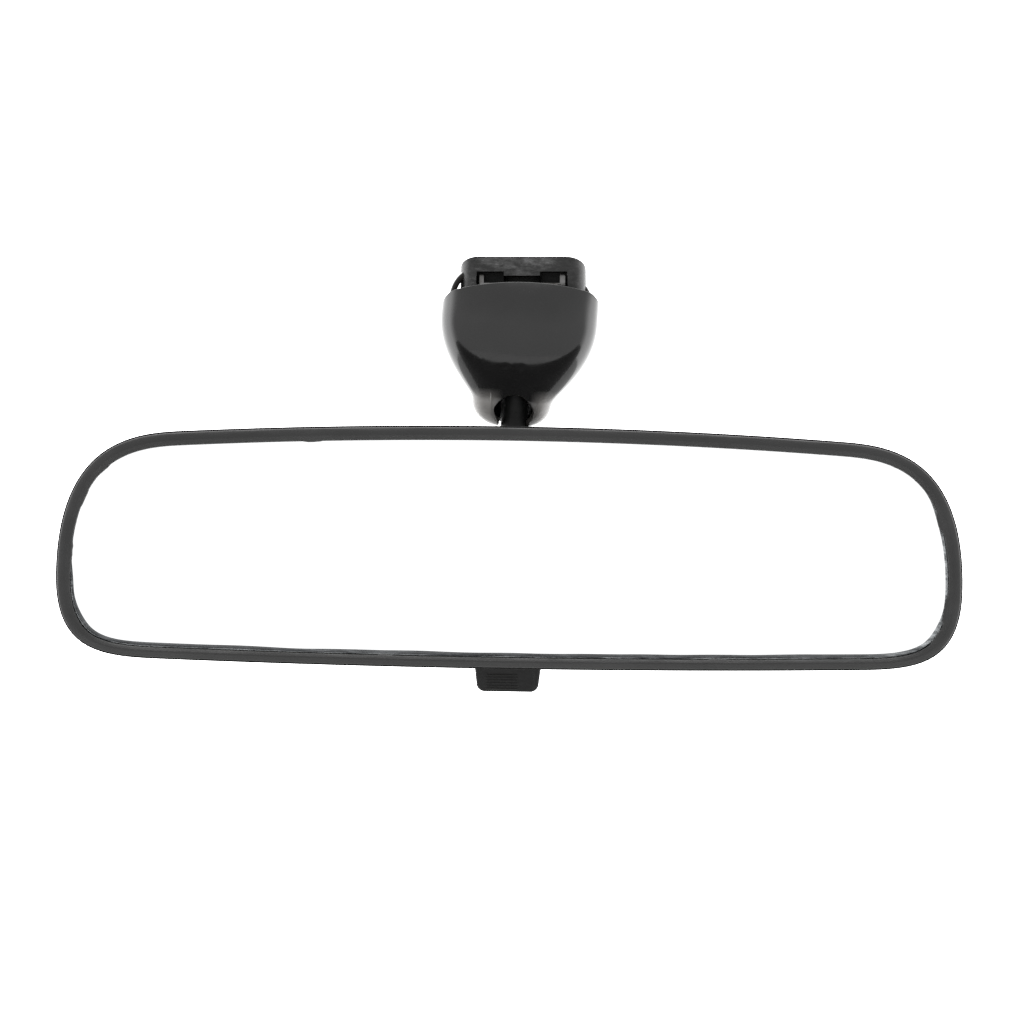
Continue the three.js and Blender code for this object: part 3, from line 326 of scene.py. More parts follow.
class Nodes:
    """A small builder for a material's or the world's nodes, reading one kind of coordinate."""

    def __init__(self, owner, coordinate, scale):
        owner.use_nodes = True
        self.owner = owner
        self.tree = owner.node_tree
        heading = self.node("TexCoord", {}).outputs[coordinate]
        scaled = self.node("VectorMath", {0: heading, "Scale": scale}, operation="SCALE")
        self.place = scaled.outputs[0]

    def node(self, kind, inputs, **settings):
        """A new node; each input is given a value or the output that feeds it."""
        made = self.tree.nodes.new("ShaderNode" + kind)
        for name, value in settings.items():
            setattr(made, name, value)
        self.feed(made, inputs)
        return made

    def feed(self, node, inputs):
        for name, value in inputs.items():
            if isinstance(value, bpy.types.NodeSocket):
                self.tree.links.new(value, node.inputs[name])
            else:
                node.inputs[name].default_value = value

    def along(self, axis):
        """Position along one axis."""
        return self.node("SeparateXYZ", {0: self.place}).outputs[axis]

    def between(self, value, low, high, start=0.0, end=1.0, kind="LINEAR"):
        """Carries the range start..end over to low..high."""
        inputs = {"Value": value, "From Min": start, "From Max": end, "To Min": low, "To Max": high}
        return self.node("MapRange", inputs, interpolation_type=kind).outputs["Result"]

    def combine(self, operation, first, second=0.0):
        return self.node("Math", {0: first, 1: second}, operation=operation).outputs[0]


class Shader(Nodes):
    """Builder for a material; positions are in millimetres of the row frame."""

    def __init__(self, name):
        super().__init__(bpy.data.materials.new(name), "Object", 1 / MM)

    def stretched(self, scale, turn=(0, 0, 0)):
        """Position scaled by a different factor along each axis."""
        inputs = {"Vector": self.place, "Scale": scale, "Rotation": turn}
        return self.node("Mapping", inputs).outputs[0]

    def noise(self, size, detail=3, rough=0.55, place=None):
        """Noise whose features are about `size` millimetres."""
        inputs = {"Vector": place or self.place, "Scale": 1 / size}
        inputs |= {"Detail": detail, "Roughness": rough}
        return self.node("TexNoise", inputs).outputs["Fac"]

    def cells(self, size):
        inputs = {"Vector": self.place, "Scale": 1 / size}
        return self.node("TexVoronoi", inputs).outputs["Distance"]

    def colours(self, factor, *stops):
        """A colour ramp: stops of (position, colour or grey value) in linear light."""
        node = self.node("ValToRGB", {"Fac": factor})
        ramp = node.color_ramp
        while len(ramp.elements) < len(stops):
            ramp.elements.new(1)
        for element, (position, colour) in zip(ramp.elements, stops):
            element.position = position
            element.color = (*(colour if isinstance(colour, tuple) else grey(colour)), 1)
        return node.outputs["Color"]

    def edge_wear(self):
        """1 on convex edges, 0 elsewhere."""
        shape = self.node("NewGeometry", {})
        return self.between(shape.outputs["Pointiness"], 0, 1, 0.52, 0.62)

    def bump(self, height, distance, strength, below=None):
        inputs = {"Strength": strength, "Distance": distance * MM, "Height": height}
        if below:
            inputs["Normal"] = below
        return self.node("Bump", inputs).outputs["Normal"]

    def finish(self, **inputs):
        """Feeds the surface and returns the material."""
        surface = self.tree.nodes["Principled BSDF"]
        self.feed(surface, {name.replace("_", " "): value for name, value in inputs.items()})
        return self.owner


def grey(value, tint=(1.0, 1.0, 1.0)):
    return tuple(value * part for part in tint)


# ---- materials


def moulded_plastic(name, dark, light, rough, grain, specular=0.5):
    """Satin moulded plastic: stippled grain, faint flow marks, rubbed edges."""
    make = Shader(name)
    flow = make.noise(9, 4, place=make.stretched((0.25, 1, 1)))
    colour = make.colours(flow, (0.3, dark), (0.7, light))
    stipple = make.noise(grain, 2)
    rubs = make.noise(1.6, 5, 0.65, place=make.stretched((0.2, 1, 1)))
    roughness = make.between(rubs, rough - 0.09, rough + 0.09, 0.3, 0.7)
    wear = make.combine("MULTIPLY", make.edge_wear(), 0.12)
    roughness = make.combine("SUBTRACT", roughness, wear)
    normal = make.bump(stipple, 0.02, 0.55)
    normal = make.bump(rubs, 0.03, 0.3, normal)
    return make.finish(
        Base_Color=colour, Roughness=roughness, Normal=normal,
        Specular_IOR_Level=specular,
    )


def gloss_plastic():
    """Polished black plastic with slight orange peel and hairlines; rougher at the lobes, where a
    painted highlight also lightens the colour.
    """
    make = Shader("gloss_black_plastic")
    lobes_top = LOBES_TOP - SEAT.z
    low = make.between(make.along("Z"), 1.0, 0.0, lobes_top - 3.5, lobes_top + 0.5)
    aside = make.combine("ABSOLUTE", make.along("X"))
    lobe_dulling_and_painted_highlight = make.combine("MULTIPLY", low, make.between(aside, 0.0, 1.0, 3.8, 7.6))
    tone = make.combine("ADD", make.combine("MULTIPLY", make.noise(14, 3), 0.1), lobe_dulling_and_painted_highlight)
    # painted highlight: towards the lobes the colour rises to grey 0.19, standing in for the light
    # they catch; their roughness rises too
    colour = make.colours(
        tone, (0.03, 0.006), (0.07, 0.010), (1.0, grey(0.19, (1.04, 1, 0.96)))
    )
    smear = make.noise(7, 4, 0.6, place=make.stretched((1, 1, 0.35), (0.2, 0, 0.5)))
    hair = make.noise(0.35, 2, 0.5, place=make.stretched((1, 1, 0.06), (0.1, 0.35, 0.1)))
    roughness = make.combine(
        "ADD",
        make.between(smear, 0.09, 0.17, 0.35, 0.7),
        make.between(hair, 0.0, 0.10, 0.66, 0.74),
    )
    roughness = make.combine("ADD", roughness, make.combine("MULTIPLY", lobe_dulling_and_painted_highlight, 0.24))
    peel = make.noise(2.6, 2, 0.4)
    normal = make.bump(peel, 0.05, 0.22)
    normal = make.bump(hair, 0.008, 0.25, normal)
    return make.finish(
        Base_Color=colour, Roughness=roughness, Normal=normal,
        Specular_IOR_Level=0.5,
    )


def base_plastic():
    """Scuffed satin block: grey rubbing over black in the middle, darker towards the ends."""
    make = Shader("base_casting")
    scuff = make.noise(2.8, 6, 0.7, place=make.stretched((0.5, 1, 1)))
    scratch = make.noise(0.5, 3, 0.6, place=make.stretched((0.3, 1, 1), (0, 0.5, 0)))
    mixed = make.combine(
        "ADD", make.combine("MULTIPLY", scuff, 0.75), make.combine("MULTIPLY", scratch, 0.25)
    )
    away = make.combine("ABSOLUTE", make.combine("ADD", make.along("X"), 2.0))
    mixed = make.combine("SUBTRACT", mixed, make.between(away, 0.0, 0.16, 8.5, 13.5))
    colour = make.colours(
        mixed,
        (0.30, 0.006),
        (0.42, 0.020),
        (0.52, 0.062),
        (0.62, grey(0.13, (1, 1, 1.02))),
    )
    roughness = make.between(mixed, 0.38, 0.6, 0.35, 0.65)
    normal = make.bump(scratch, 0.04, 0.5)
    normal = make.bump(scuff, 0.12, 0.4, normal)
    return make.finish(
        Base_Color=colour, Roughness=roughness, Normal=normal,
        Specular_IOR_Level=0.35,
    )


def mirror_silver():
    """The silvered prism seen through its glass: a near-perfect mirror under a clear coat."""
    make = Shader("silvered_glass")
    haze = make.noise(28, 4, 0.6)
    colour = make.colours(haze, (0.3, 0.985), (0.7, grey(0.995, (0.99, 0.997, 1.0))))
    smear = make.noise(11, 5, 0.6, place=make.stretched((0.4, 1, 1), (0, 0.3, 0)))
    roughness = make.between(smear, 0.004, 0.03, 0.45, 0.8)
    return make.finish(
        Base_Color=colour, Roughness=roughness,
        Metallic=1.0, Coat_Weight=0.6, Coat_IOR=1.5, Coat_Roughness=0.01,
    )


def ground_edge():
    """The ground bevel round the glass: grey-green, streaky, lighter towards the right end."""
    make = Shader("ground_glass_edge")
    streak = make.noise(1.5, 4, 0.7, place=make.stretched((0.12, 1, 0.9)))
    right_end_lift = make.between(make.along("X"), 0.0, 0.2, 96, 118)
    streak = make.combine("ADD", streak, right_end_lift)
    colour = make.colours(
        streak,
        (0.35, grey(0.035, (0.95, 1.0, 1.06))),
        (0.52, grey(0.085, (0.94, 1.0, 1.05))),
        (0.66, grey(0.20, (0.95, 1.0, 1.03))),
        (0.80, grey(0.60, (0.96, 1.0, 1.02))),
    )
    roughness = make.between(streak, 0.22, 0.45, 0.3, 0.7)
    return make.finish(Base_Color=colour, Roughness=roughness, Specular_IOR_Level=0.6)


def bright_arris():
    """The glass's outermost polished edge, with a painted highlight in its colour for the light it
    catches.
    """
    make = Shader("glass_arris")
    streak = make.noise(4, 4, 0.7, place=make.stretched((0.3, 1, 0.6)))
    # painted highlight: the light streaks (grey up to 0.86) stand in for the light the edge catches
    colour = make.colours(
        streak, (0.38, grey(0.16, (0.93, 1, 1.05))), (0.56, grey(0.86, (0.96, 1, 1.02)))
    )
    roughness = make.between(streak, 0.1, 0.3)
    return make.finish(Base_Color=colour, Roughness=roughness, Specular_IOR_Level=0.8)


def shadow_paint():
    """Painted shade: a near-black border of the glass in the gap under the bezel's lip, standing in
    for the shadow there.
    """
    make = Shader("glass_border")
    mottle = make.noise(1.2, 3)
    colour = make.colours(mottle, (0.3, 0.002), (0.7, 0.006))
    roughness = make.between(mottle, 0.6, 0.8)
    return make.finish(Base_Color=colour, Roughness=roughness, Specular_IOR_Level=0.15)


def metal(name, dark, light, rough, metallic=1.0, brush=(1, 1, 1)):
    """Worked metal with fine brushing and a little variation."""
    make = Shader(name)
    brushing = make.noise(0.5, 4, 0.6, place=make.stretched(brush))
    patches = make.noise(5, 3)
    colour = make.colours(patches, (0.3, dark), (0.7, light))
    roughness = make.between(brushing, rough - 0.08, rough + 0.12, 0.3, 0.7)
    normal = make.bump(brushing, 0.01, 0.35)
    return make.finish(
        Base_Color=colour, Roughness=roughness, Normal=normal, Metallic=metallic
    )


def soft_fill(name, dark, light, pore, rough):
    """Foam, board or nylon: a matt surface with pores."""
    make = Shader(name)
    pores = make.cells(pore)
    colour = make.colours(pores, (0.1, dark), (0.6, light))
    roughness = make.between(pores, rough, min(rough + 0.1, 1.0))
    normal = make.bump(pores, 0.15, 0.5)
    return make.finish(
        Base_Color=colour, Roughness=roughness, Normal=normal,
        Specular_IOR_Level=0.3,
    )


BEZEL_PLASTIC = moulded_plastic(
    "bezel_plastic", 0.004, grey(0.012, (1, 0.99, 1.01)), 0.40, 0.28
)
CASE_PLASTIC = moulded_plastic("satin_black_plastic", 0.007, 0.013, 0.43, 0.45)
LEVER_PLASTIC = moulded_plastic("lever_plastic", 0.006, 0.011, 0.55, 0.22, 0.22)
GLOSS = gloss_plastic()
COVER_INSIDE = moulded_plastic(
    "cover_inside_plastic", grey(0.010, (1.1, 1, 0.92)), grey(0.017, (1.1, 1, 0.92)), 0.6, 0.5, 0.2
)
STAY_PAINT = moulded_plastic("stay_paint", 0.006, 0.012, 0.5, 0.6, 0.25)
BASE = base_plastic()
SHADOW_PLASTIC = moulded_plastic("shadow_plastic", 0.003, 0.008, 0.6, 0.5, 0.2)
SILVER = mirror_silver()
GROUND = ground_edge()
ARRIS_HIGHLIGHT = bright_arris()
SHADOW_BORDER = shadow_paint()
ZINC = metal("zinc_casting", 0.30, grey(0.42, (1, 1, 1.03)), 0.42, 0.95)
BLACK_STEEL = metal("black_steel", 0.018, grey(0.035, (1, 1.0, 1.04)), 0.36, 0.55)
# painted shade: the spring steel's colour is darkened to grey 0.05-0.2 to stand in for the shadow
# in the notches; the brownish tint is the steel's own
DULL_SHADED_STEEL = metal("spring_steel", grey(0.05, (1.1, 1, 0.9)), 0.2, 0.3, 1.0, (0.2, 1, 1))
PLATED = metal("plated_steel", 0.52, grey(0.66, (1, 1, 1.02)), 0.26, 1.0, (0.2, 1, 1))
BACKING = soft_fill("backing_board", 0.014, 0.03, 1.1, 0.75)
FOAM = soft_fill("foam", 0.02, 0.055, 0.6, 0.88)
NYLON = soft_fill("natural_nylon", (0.60, 0.56, 0.47), (0.74, 0.71, 0.62), 2.2, 0.42)

# ---- head outline


def crown_line(spec, extent, sign):
    """Points of a crown from the middle to its end, and the direction it leaves its end in."""
    steps = 60
    radius, end = spec["radius"], spec["end"]
    xs = [end * i / steps for i in range(steps + 1)]
    points = [Vector((x, sign * (extent - radius + sqrt(radius**2 - x * x)))) for x in xs]
    slope = asin(end / radius)
    return points, Vector((cos(slope), -sign * sin(slope)))


def outline_points(count):
    """Evenly spaced (x, z) points round the head: two shallow crowns joined by round corners."""
    corner_steps = 120
    widest = Vector((HALF_WIDTH, WIDEST_Z))
    lines = []
    for spec, extent, sign in ((TOP_CROWN, TOP, 1), (BOTTOM_CROWN, BOTTOM, -1)):
        line, ahead = crown_line(spec, extent, sign)
        side = widest + Vector((0, sign * spec["side_handle"]))
        corner = [line[-1], line[-1] + ahead * spec["handle"], side, widest]
        line += [bezier(corner, i / corner_steps) for i in range(1, corner_steps)]
        lines.append(line)
    right = [*lines[0], widest, *lines[1][::-1]]
    half = resampled(right, count // 2 + 1)
    return half + [Vector((-p.x, p.y)) for p in half[-2:0:-1]]


OUTLINE = outline_points(OUTLINE_POINTS)
COARSE_OUTLINE = OUTLINE[:: OUTLINE_POINTS // 300]


def inset_point(point, inset):
    factor = 1 - inset / (BOTTOM if point.y < 0 else TOP)
    return point.x * (1 - inset / HALF_WIDTH), point.y * factor


def inward_normals(points):
    count = len(points)
    along = [points[(i + 1) % count] - points[i - 1] for i in range(count)]
    return [Vector((step.y, -step.x)).normalized() for step in along]


INWARD = inward_normals(OUTLINE)


def drawn_in(point, inward, inset, lower):
    """A point of the outline moved straight inwards, along the bottom by `lower` times as much."""
    rise = inward.y * inset * (lower if inward.y > 0 else 1)
    return point.x + inward.x * inset, point.y + rise


def head_ring(inset, y):
    """The coarse outline drawn in by `inset`, at depth y, which may depend on (x, z)."""
    made = []
    for point in COARSE_OUTLINE:
        x, z = inset_point(point, inset)
        made.append(Vector((x, y(x, z) if callable(y) else y, z)))
    return made


def slimmed(y):
    """Depth past the straight side wall shrinks towards the head's ends."""
    return lambda x, z: SIDE_DEPTH + (y - SIDE_DEPTH) * (1 - END_SLIMMING * (x / HALF_WIDTH) ** 2)


# ---- head: case, bezel, glass


def bowl_rings(side_inset, round_in, depth):
    """Rings from the side wall over the round edge and across the crowned back."""
    rings = []
    steps = 14
    for i in range(1, steps + 1):
        angle = radians(90 * i / steps)
        inset = side_inset + round_in * (1 - cos(angle))
        y = SIDE_DEPTH + (depth - SIDE_DEPTH) * sin(angle)
        rings.append(head_ring(inset, slimmed(y)))
    rim = rings[-1]
    back_steps = 24
    for i in range(1, back_steps):
        size = 1 - i / back_steps
        y = slimmed(depth + BACK_CROWN * (1 - size**2))
        rings.append([Vector((p.x * size, y(p.x * size, p.z * size), p.z * size)) for p in rim])
    return rings


def case_shell():
    """One closed shell of outer and inner skin, with the back hole and the lever's slot."""
    lip = 0.12
    turns = (0.0, 0.52, 1.05, 1.57)
    rim = [(lip * (1 - sin(t)), CASE_FRONT + lip * (1 - cos(t))) for t in turns]
    side = [(0.1, 3), (0.35, 8), (0.42, 8.5)]
    seam = [(0.62, 8.62), (0.66, 8.9), (0.5, 9.05), (0.7, 11.5), (0.9, SIDE_DEPTH)]
    inside = [(0.95, 1.8), (0.95, 7.5), (2.6, 7.6), (3.1, SIDE_DEPTH)]
    outer = [head_ring(inset, y) for inset, y in rim + side + seam]
    outer += bowl_rings(0.9, BACK_ROUND, CASE_DEPTH)
    inner = [head_ring(inset, y) for inset, y in inside]
    inner += bowl_rings(3.1, BACK_ROUND - 1.5, CASE_DEPTH - CASE_WALL)
    skin = loft([*outer, *inner[::-1]], closed=True)
    made = make_object("case_shell", *skin, TO_HEAD, 40)
    hole_at = Vector((0, 0, BALL.z))
    tools = [
        rod_object("hole_tool", BACK_HOLE_RADIUS, (12, 40), BACKWARD, hole_at, TO_HEAD, 96),
        box_object("slot_tool", *LEVER_SLOT, TO_HEAD),
    ]
    carve(made, tools, smooth_angle=40)
    looks = CASE_PLASTIC, SHADOW_PLASTIC
    finish_piece(made, "head", "satin_black_plastic", ["mirror_case"], *looks)
    choose_faces(made, TO_HEAD, lambda at: at.y < CASE_FRONT + 0.25)
    return made


# Moulding flash on the bezel's inner edge: x, z, half length along the edge, size, mm.
FLASH_BITS = (
    (-114.5, 22.0, 4.0, 0.35),
    (-118.6, 12.0, 3.0, 0.3),
    (-120.6, -4.0, 4.0, 0.3),
    (-55.0, 29.3, 3.0, 0.3),
    (119.6, 9.0, 3.2, 0.9),
    (121.0, -15.5, 4.2, 0.9),
    (117.0, -22.0, 3.0, 0.4),
    (-34.0, -30.2, 2.0, 0.3),
    (58.0, -30.2, 3.0, 0.3),
)


def flash_at(x, z):
    """How far the flash stands in from the bezel's inner edge at a point of it."""
    ragged = 0.5 + 0.5 * noise.noise(Vector((x * 0.9, z * 0.9, 3.0)))
    fine = 0.5 + 0.5 * noise.noise(Vector((x * 2.7, z * 2.7, 9.0)))
    total = 0.10 * max(ragged - 0.5, 0) * 2
    for bit_x, bit_z, half, size in FLASH_BITS:
        away = hypot(x - bit_x, z - bit_z) / half
        if away < 1:
            total += size * (1 - away**4) * (0.55 + 0.3 * ragged + 0.3 * fine)
    return total


def bezel_profile():
    """Section of the bezel: (inset, depth, share of the lower factor, share of the flash)."""
    wall = [(BEZEL_OUTER, 6.6), (BEZEL_OUTER, 3.0), (BEZEL_OUTER, 1.2)]
    rim = [(BEZEL_RIM + 0.05, 1.2), (BEZEL_RIM, 1.1), (BEZEL_RIM, 1.0), (0.49, 0.86), (0.6, 0.74)]
    plateau = [(0.8, 0.61), (1.1, 0.44), (1.5, 0.27), (1.9, 0.13), (2.2, 0.05), (2.45, 0.01)]
    slope = [(2.6, 0.03), (2.78, 0.1), (3.05, 0.25), (3.4, 0.46), (3.68, 0.63)]
    lip = [(3.8, 0.72), (3.9, 0.83), (3.97, 0.98), (4.0, 1.16), (4.0, 1.6), (3.94, 1.7)]
    made = [(inset, y, 0.0, 0.0) for inset, y in wall + rim]
    made += [(inset, y, smoothstep(0.8, 2.6, inset), 0.0) for inset, y in plateau]
    made += [(inset, y, 1.0, 0.0) for inset, y in slope]
    made += [(inset, y, 1.0, share) for (inset, y), share in zip(lip, (0.1, 0.3, 0.7, 1, 1, 0.9))]
    skirt = [(2.55, 1.7), (2.55, 4.0), (2.55, BEZEL_SKIRT), (1.5, BEZEL_SKIRT)]
    made += [(inset, y, 0.0, 0.0) for inset, y in skirt]
    return made


def bezel_ring():
    rings = []
    for inset, y, low_share, flash_share in bezel_profile():
        lower = 1 + (LOWER_FACTOR - 1) * low_share
        wavy = 1 if 0.15 < y < 1.5 else 0
        ring = []
        for point, inward in zip(OUTLINE, INWARD):
            edge = drawn_in(point, inward, BEZEL_INNER, LOWER_FACTOR)
            extra = flash_at(*edge) * flash_share if flash_share else 0
            wave = 0.05 * noise.noise(Vector((point.x * 0.12, point.y * 0.12, inset)))
            x, z = drawn_in(point, inward, inset + extra, lower)
            ring.append(Vector((x, y + wave * wavy, z)))
        rings.append(ring)
    made = make_object("bezel_ring", *loft(rings, closed=True), TO_HEAD, 50)
    return finish_piece(made, "head", "satin_black_plastic", ["bezel"], BEZEL_PLASTIC)


def edge_band(x, z):
    """Share of the ground edge that shows inside the bezel: most along the bottom."""
    top = 18 if x > 0 else -2
    upright = 1 - smoothstep(top - 10, top, z)
    return upright * (0.5 + 0.5 * smoothstep(14, 24, -z))


def mirror_glass():
    """The glass: a near-black border under the bezel painted as the shade in the gap, a thin arris
    with a painted highlight, ground bevel, flat mirror face.
    """
    steps = (
        (GLASS_INSET, 0.0, 0.0, 2.6),
        (BEZEL_INNER, 0.06, 0.0, 2.5),
        (BEZEL_INNER, 0.16, 0.01, 2.35),
        (BEZEL_INNER, 0.42, 0.03, 2.15),
        (BEZEL_INNER, 1.55, 0.05, GLASS_FRONT),
    )
    rings = []
    for inset, band_reach, least, y in steps:
        ring = []
        for point, inward in zip(OUTLINE, INWARD):
            edge_x, edge_z = drawn_in(point, inward, BEZEL_INNER, LOWER_FACTOR)
            band = edge_band(edge_x, edge_z)
            uneven = 1 + 0.18 * noise.noise(Vector((edge_x * 0.06, edge_z * 0.06, 5.0)))
            lower = 1.0 if inset == GLASS_INSET else LOWER_FACTOR
            reach = inset + least + band_reach * band * uneven
            x, z = drawn_in(point, inward, reach, lower)
            depth = GLASS_FRONT + (y - GLASS_FRONT) * max(band, 0.02)
            ring.append(Vector((x, depth, z)))
        rings.append(ring)
    thin, thick = GLASS_THICKNESS
    middle = (thin + thick) / 2
    taper = (thick - thin) / (TOP + BOTTOM - 2 * GLASS_INSET)
    back = [Vector((p.x, GLASS_FRONT + middle + taper * p.z, p.z)) for p in rings[0]]
    made = make_object("mirror_glass", *loft([back, *rings]), TO_HEAD, 4)
    looks = [SILVER, GROUND, ARRIS_HIGHLIGHT, SHADOW_BORDER]
    finish_piece(made, "head", "silvered_glass", ["prism_glass"], *looks)
    # the three border spans carry painted shade, the arris span a painted highlight
    spans = (SHADOW_BORDER, SHADOW_BORDER, SHADOW_BORDER, ARRIS_HIGHLIGHT, GROUND)
    for face in made.data.polygons:
        span = face.index // len(OUTLINE)
        if len(face.vertices) == 4 and span < len(spans):
            face.material_index = looks.index(spans[span])
    return made


# ---- day/night lever

TAB = {"top": 8, "half": 9.15, "tip_half": 8.5, "end": 14.2, "corner": 2.1, "half_thick": 2.2}
TAB_ROUND = 0.9
RIDGE = {"from_x": -6.0, "to_x": 2.8, "first": 8.6, "pitch": 0.86, "count": 6, "height": 0.2}
BORDER_RIB = {"x": 7.2, "half_width": 0.45, "height": 0.22}
CRANK = 4.533


def tab_half_width(z):
    """Half-width of the tab's outline at height z, which is negative."""
    share = (-z - TAB["top"]) / (TAB["end"] - TAB["top"])
    side = TAB["half"] + (TAB["tip_half"] - TAB["half"]) * share
    corner = TAB["corner"]
    into = -z - (TAB["end"] - corner)
    if into <= 0:
        return side
    return side - corner + sqrt(max(corner**2 - into**2, 0))


def tab_edge_distance(x, z):
    """How far a point of the tab is from its side and bottom edges."""
    corner = TAB["corner"]
    dz = -z - TAB["end"] + corner
    half = tab_half_width(min(z, -TAB["top"])) if dz < 0 else TAB["tip_half"]
    dx = abs(x) - half + corner
    if dx > 0 and dz > 0:
        return corner - hypot(dx, dz)
    return corner - max(dx, dz)


def tab_front(x, z):
    """Height of the ridges and the border rib over the tab's front."""
    rise = 0.0
    inside = smoothstep(RIDGE["from_x"] - 0.4, RIDGE["from_x"] + 0.4, x)
    inside *= 1 - smoothstep(RIDGE["to_x"] - 0.4, RIDGE["to_x"] + 0.4, x)
    along = (-z - RIDGE["first"]) / RIDGE["pitch"]
    if inside > 0 and -0.5 < along < RIDGE["count"] - 0.5:
        rise += RIDGE["height"] * inside * (0.5 + 0.5 * cos(2 * pi * along)) ** 1.5
    for side in (-1, 1):
        away = abs(x - side * BORDER_RIB["x"]) / BORDER_RIB["half_width"]
        if away < 1:
            share = 1.0 if side > 0 else 0.5
            rise += share * BORDER_RIB["height"] * (0.5 + 0.5 * cos(pi * away))
    return rise


def flip_tab():
    """The tab as one closed grid: its front, with the ridges, and its plain back."""
    columns, rows_down = 150, 76
    top_z = -6.6
    full = TAB["half_thick"]
    front, back = [], []
    for j in range(rows_down + 1):
        share = j / rows_down
        z = top_z - (TAB["end"] + top_z) * (1 - (1 - share) ** 1.3)
        half = tab_half_width(z)
        front_row, back_row = [], []
        for i in range(columns + 1):
            even = 2 * i / columns - 1
            x = half * (0.25 * sin(pi / 2 * even) + 0.75 * even)
            reach = min(max(tab_edge_distance(x, z), 0), TAB_ROUND)
            thick = full - TAB_ROUND + sqrt(TAB_ROUND**2 - (TAB_ROUND - reach) ** 2)
            front_row.append(Vector((x, -thick - tab_front(x, z) * (reach / TAB_ROUND), z)))
            back_row.append(Vector((x, thick, z)))
        front.append(front_row)
        back.append(back_row)
    vertices, faces = grid([[*f, *b[::-1], f[0]] for f, b in zip(front, back)])
    size = len(front[0])
    width = 2 * size + 1
    last = rows_down * width
    for i in range(size - 1):
        faces.append((i, i + 1, width - 3 - i, width - 2 - i))
        faces.append((last + i + 1, last + i, last + width - 2 - i, last + width - 3 - i))
    tab = make_object("flip_tab", vertices, faces, TO_LEVER, 45)
    return finish_piece(tab, "lever", "lever_plastic", None, LEVER_PLASTIC)


def lever_hub():
    """The two cheeks round the lever's pins and the web between them and the tab."""
    outline = arc(3.2, 180, 360, 20) + arc(2.3, 0, 180, 16, (0, CRANK))
    cheeks = []
    for ends in ((-7.6, -3.6), (3.6, 7.6)):
        rings = [[Vector((x, y, z)) for y, z in outline] for x in ends]
        cheeks.append(make_object("cheek", *loft(rings), TO_LEVER))
    hub, other = cheeks
    hub.name = "lever_hub"
    web = box_object("web", (-8, -1.5, -7.4), (8, 1.5, -2.3), TO_LEVER)
    carve(hub, [other, web], "UNION")
    bores = [
        rod_object("bore", 1.35, (-10, 10), RIGHTWARD, UPWARD * height, TO_LEVER)
        for height in (0, CRANK)
    ]
    carve(hub, bores)
    round_edges(hub, 0.25, 2)
    return finish_piece(hub, "lever", "lever_plastic", ["day_night_lever"], LEVER_PLASTIC)


# ---- stay cover

COVER_SIDE = (
    ((0, 33.4), (5.5, 33.4), (11.1, 35.4), (11.35, 41)),
    ((11.35, 41), (11.75, 43.6), (22.55, 51.5), (22.55, 64.1)),
    ((22.55, 64.1), (22.5, 69), (22, 74), (21.3, 80)),
)
COVER_FRONT = (
    ((37, 33.4), (31.5, 33.4), (28, 35.5), (28.5, 41.5)),
    ((28.5, 41.5), (27, 46), (22.5, 52.5), (22.5, 60.5)),
    ((22.5, 60.5), (22.5, 66), (26.5, 72.5), (32, 80)),
)
SLOT_SIDE = (
    ((4.1, 33.0), (4.1, 33.7), (4.1, 34.4)),
    ((4.1, 34.4), (6.1, 36.6), (5.8, 38.6)),
    ((5.8, 38.6), (4, 42.4), (0, 42.8)),
)
SLOT_TOP = 42.8
SLOT_SHIFT = 0.9
SHOULDER = ((23.4, 64.1), (23.4, 68.2), (22, 71.9), (18.2, 72.8))
ARCH = ((18.2, 72.8), (9.5, 74.95), (0, 74.95))


def value_at(chain, height):
    """First coordinate of a rising chain of curves where the second one is `height`."""
    curve = next((part for part in chain if height <= part[-1][1]), chain[-1])
    return bezier(curve, bisect(0, 1, lambda share: bezier(curve, share).y < height)).x


def tabulated(chain, low, high, step=0.05):
    count = int((high - low) / step) + 2
    values = [value_at(chain, low + step * i) for i in range(count)]

    def look(height):
        place = min(max((height - low) / step, 0), count - 1.001)
        index = int(place)
        return values[index] + (values[index + 1] - values[index]) * (place - index)

    return look


cover_half = tabulated(COVER_SIDE, 33.4, 79.9)
cover_front_y = tabulated(COVER_FRONT, 33.4, 79.9)
slot_half = tabulated(SLOT_SIDE, 33.0, SLOT_TOP)


def superellipse(angle):
    """Point of the cover's rounded-square section, as shares of its half-width and depth."""
    return [copysign(abs(part) ** (2 / SECTION_POWER), part) for part in (cos(angle), sin(angle))]


def front_columns(count):
    """(across, along) pairs from the left seam over the front to the right seam, evenly spaced."""
    dense = [superellipse(pi * (1 + i / 2000)) for i in range(2001)]
    wide, deep = COVER_SPAN
    line = resampled([(wide * a, deep * b) for a, b in dense], count)
    return [(p.x / wide, p.y / deep) for p in line]


def slot_end(across):
    """Height where a meridian of the cover meets the slot between the lobes."""
    z = SLOT_TOP
    while z > 33.6:
        if abs(cover_half(z) * across - SLOT_SHIFT) < slot_half(z):
            return z
        z -= 0.02
    return z


def arch_end(across):
    """Height where a meridian meets the arched top edge, which stays level as the cover leans."""
    turn = COVER_LEAN - COVER_TRIM_TURN

    def is_under_edge(z):
        x, rise = cover_half(z) * across, z - COVER_PIVOT.z
        level_x = abs(x * cos(turn) + rise * sin(turn))
        level_z = COVER_PIVOT.z + rise * cos(turn) - x * sin(turn)
        return level_z < edge_height(ARCH if level_x < ARCH[0][0] else SHOULDER, level_x)

    return bisect(60, 78, is_under_edge)


def edge_height(curve, x):
    """Height of a curve, drawn from its outer end inwards, at a distance x from the middle."""
    return bezier(curve, bisect(0, 1, lambda share: bezier(curve, share).x > x)).y


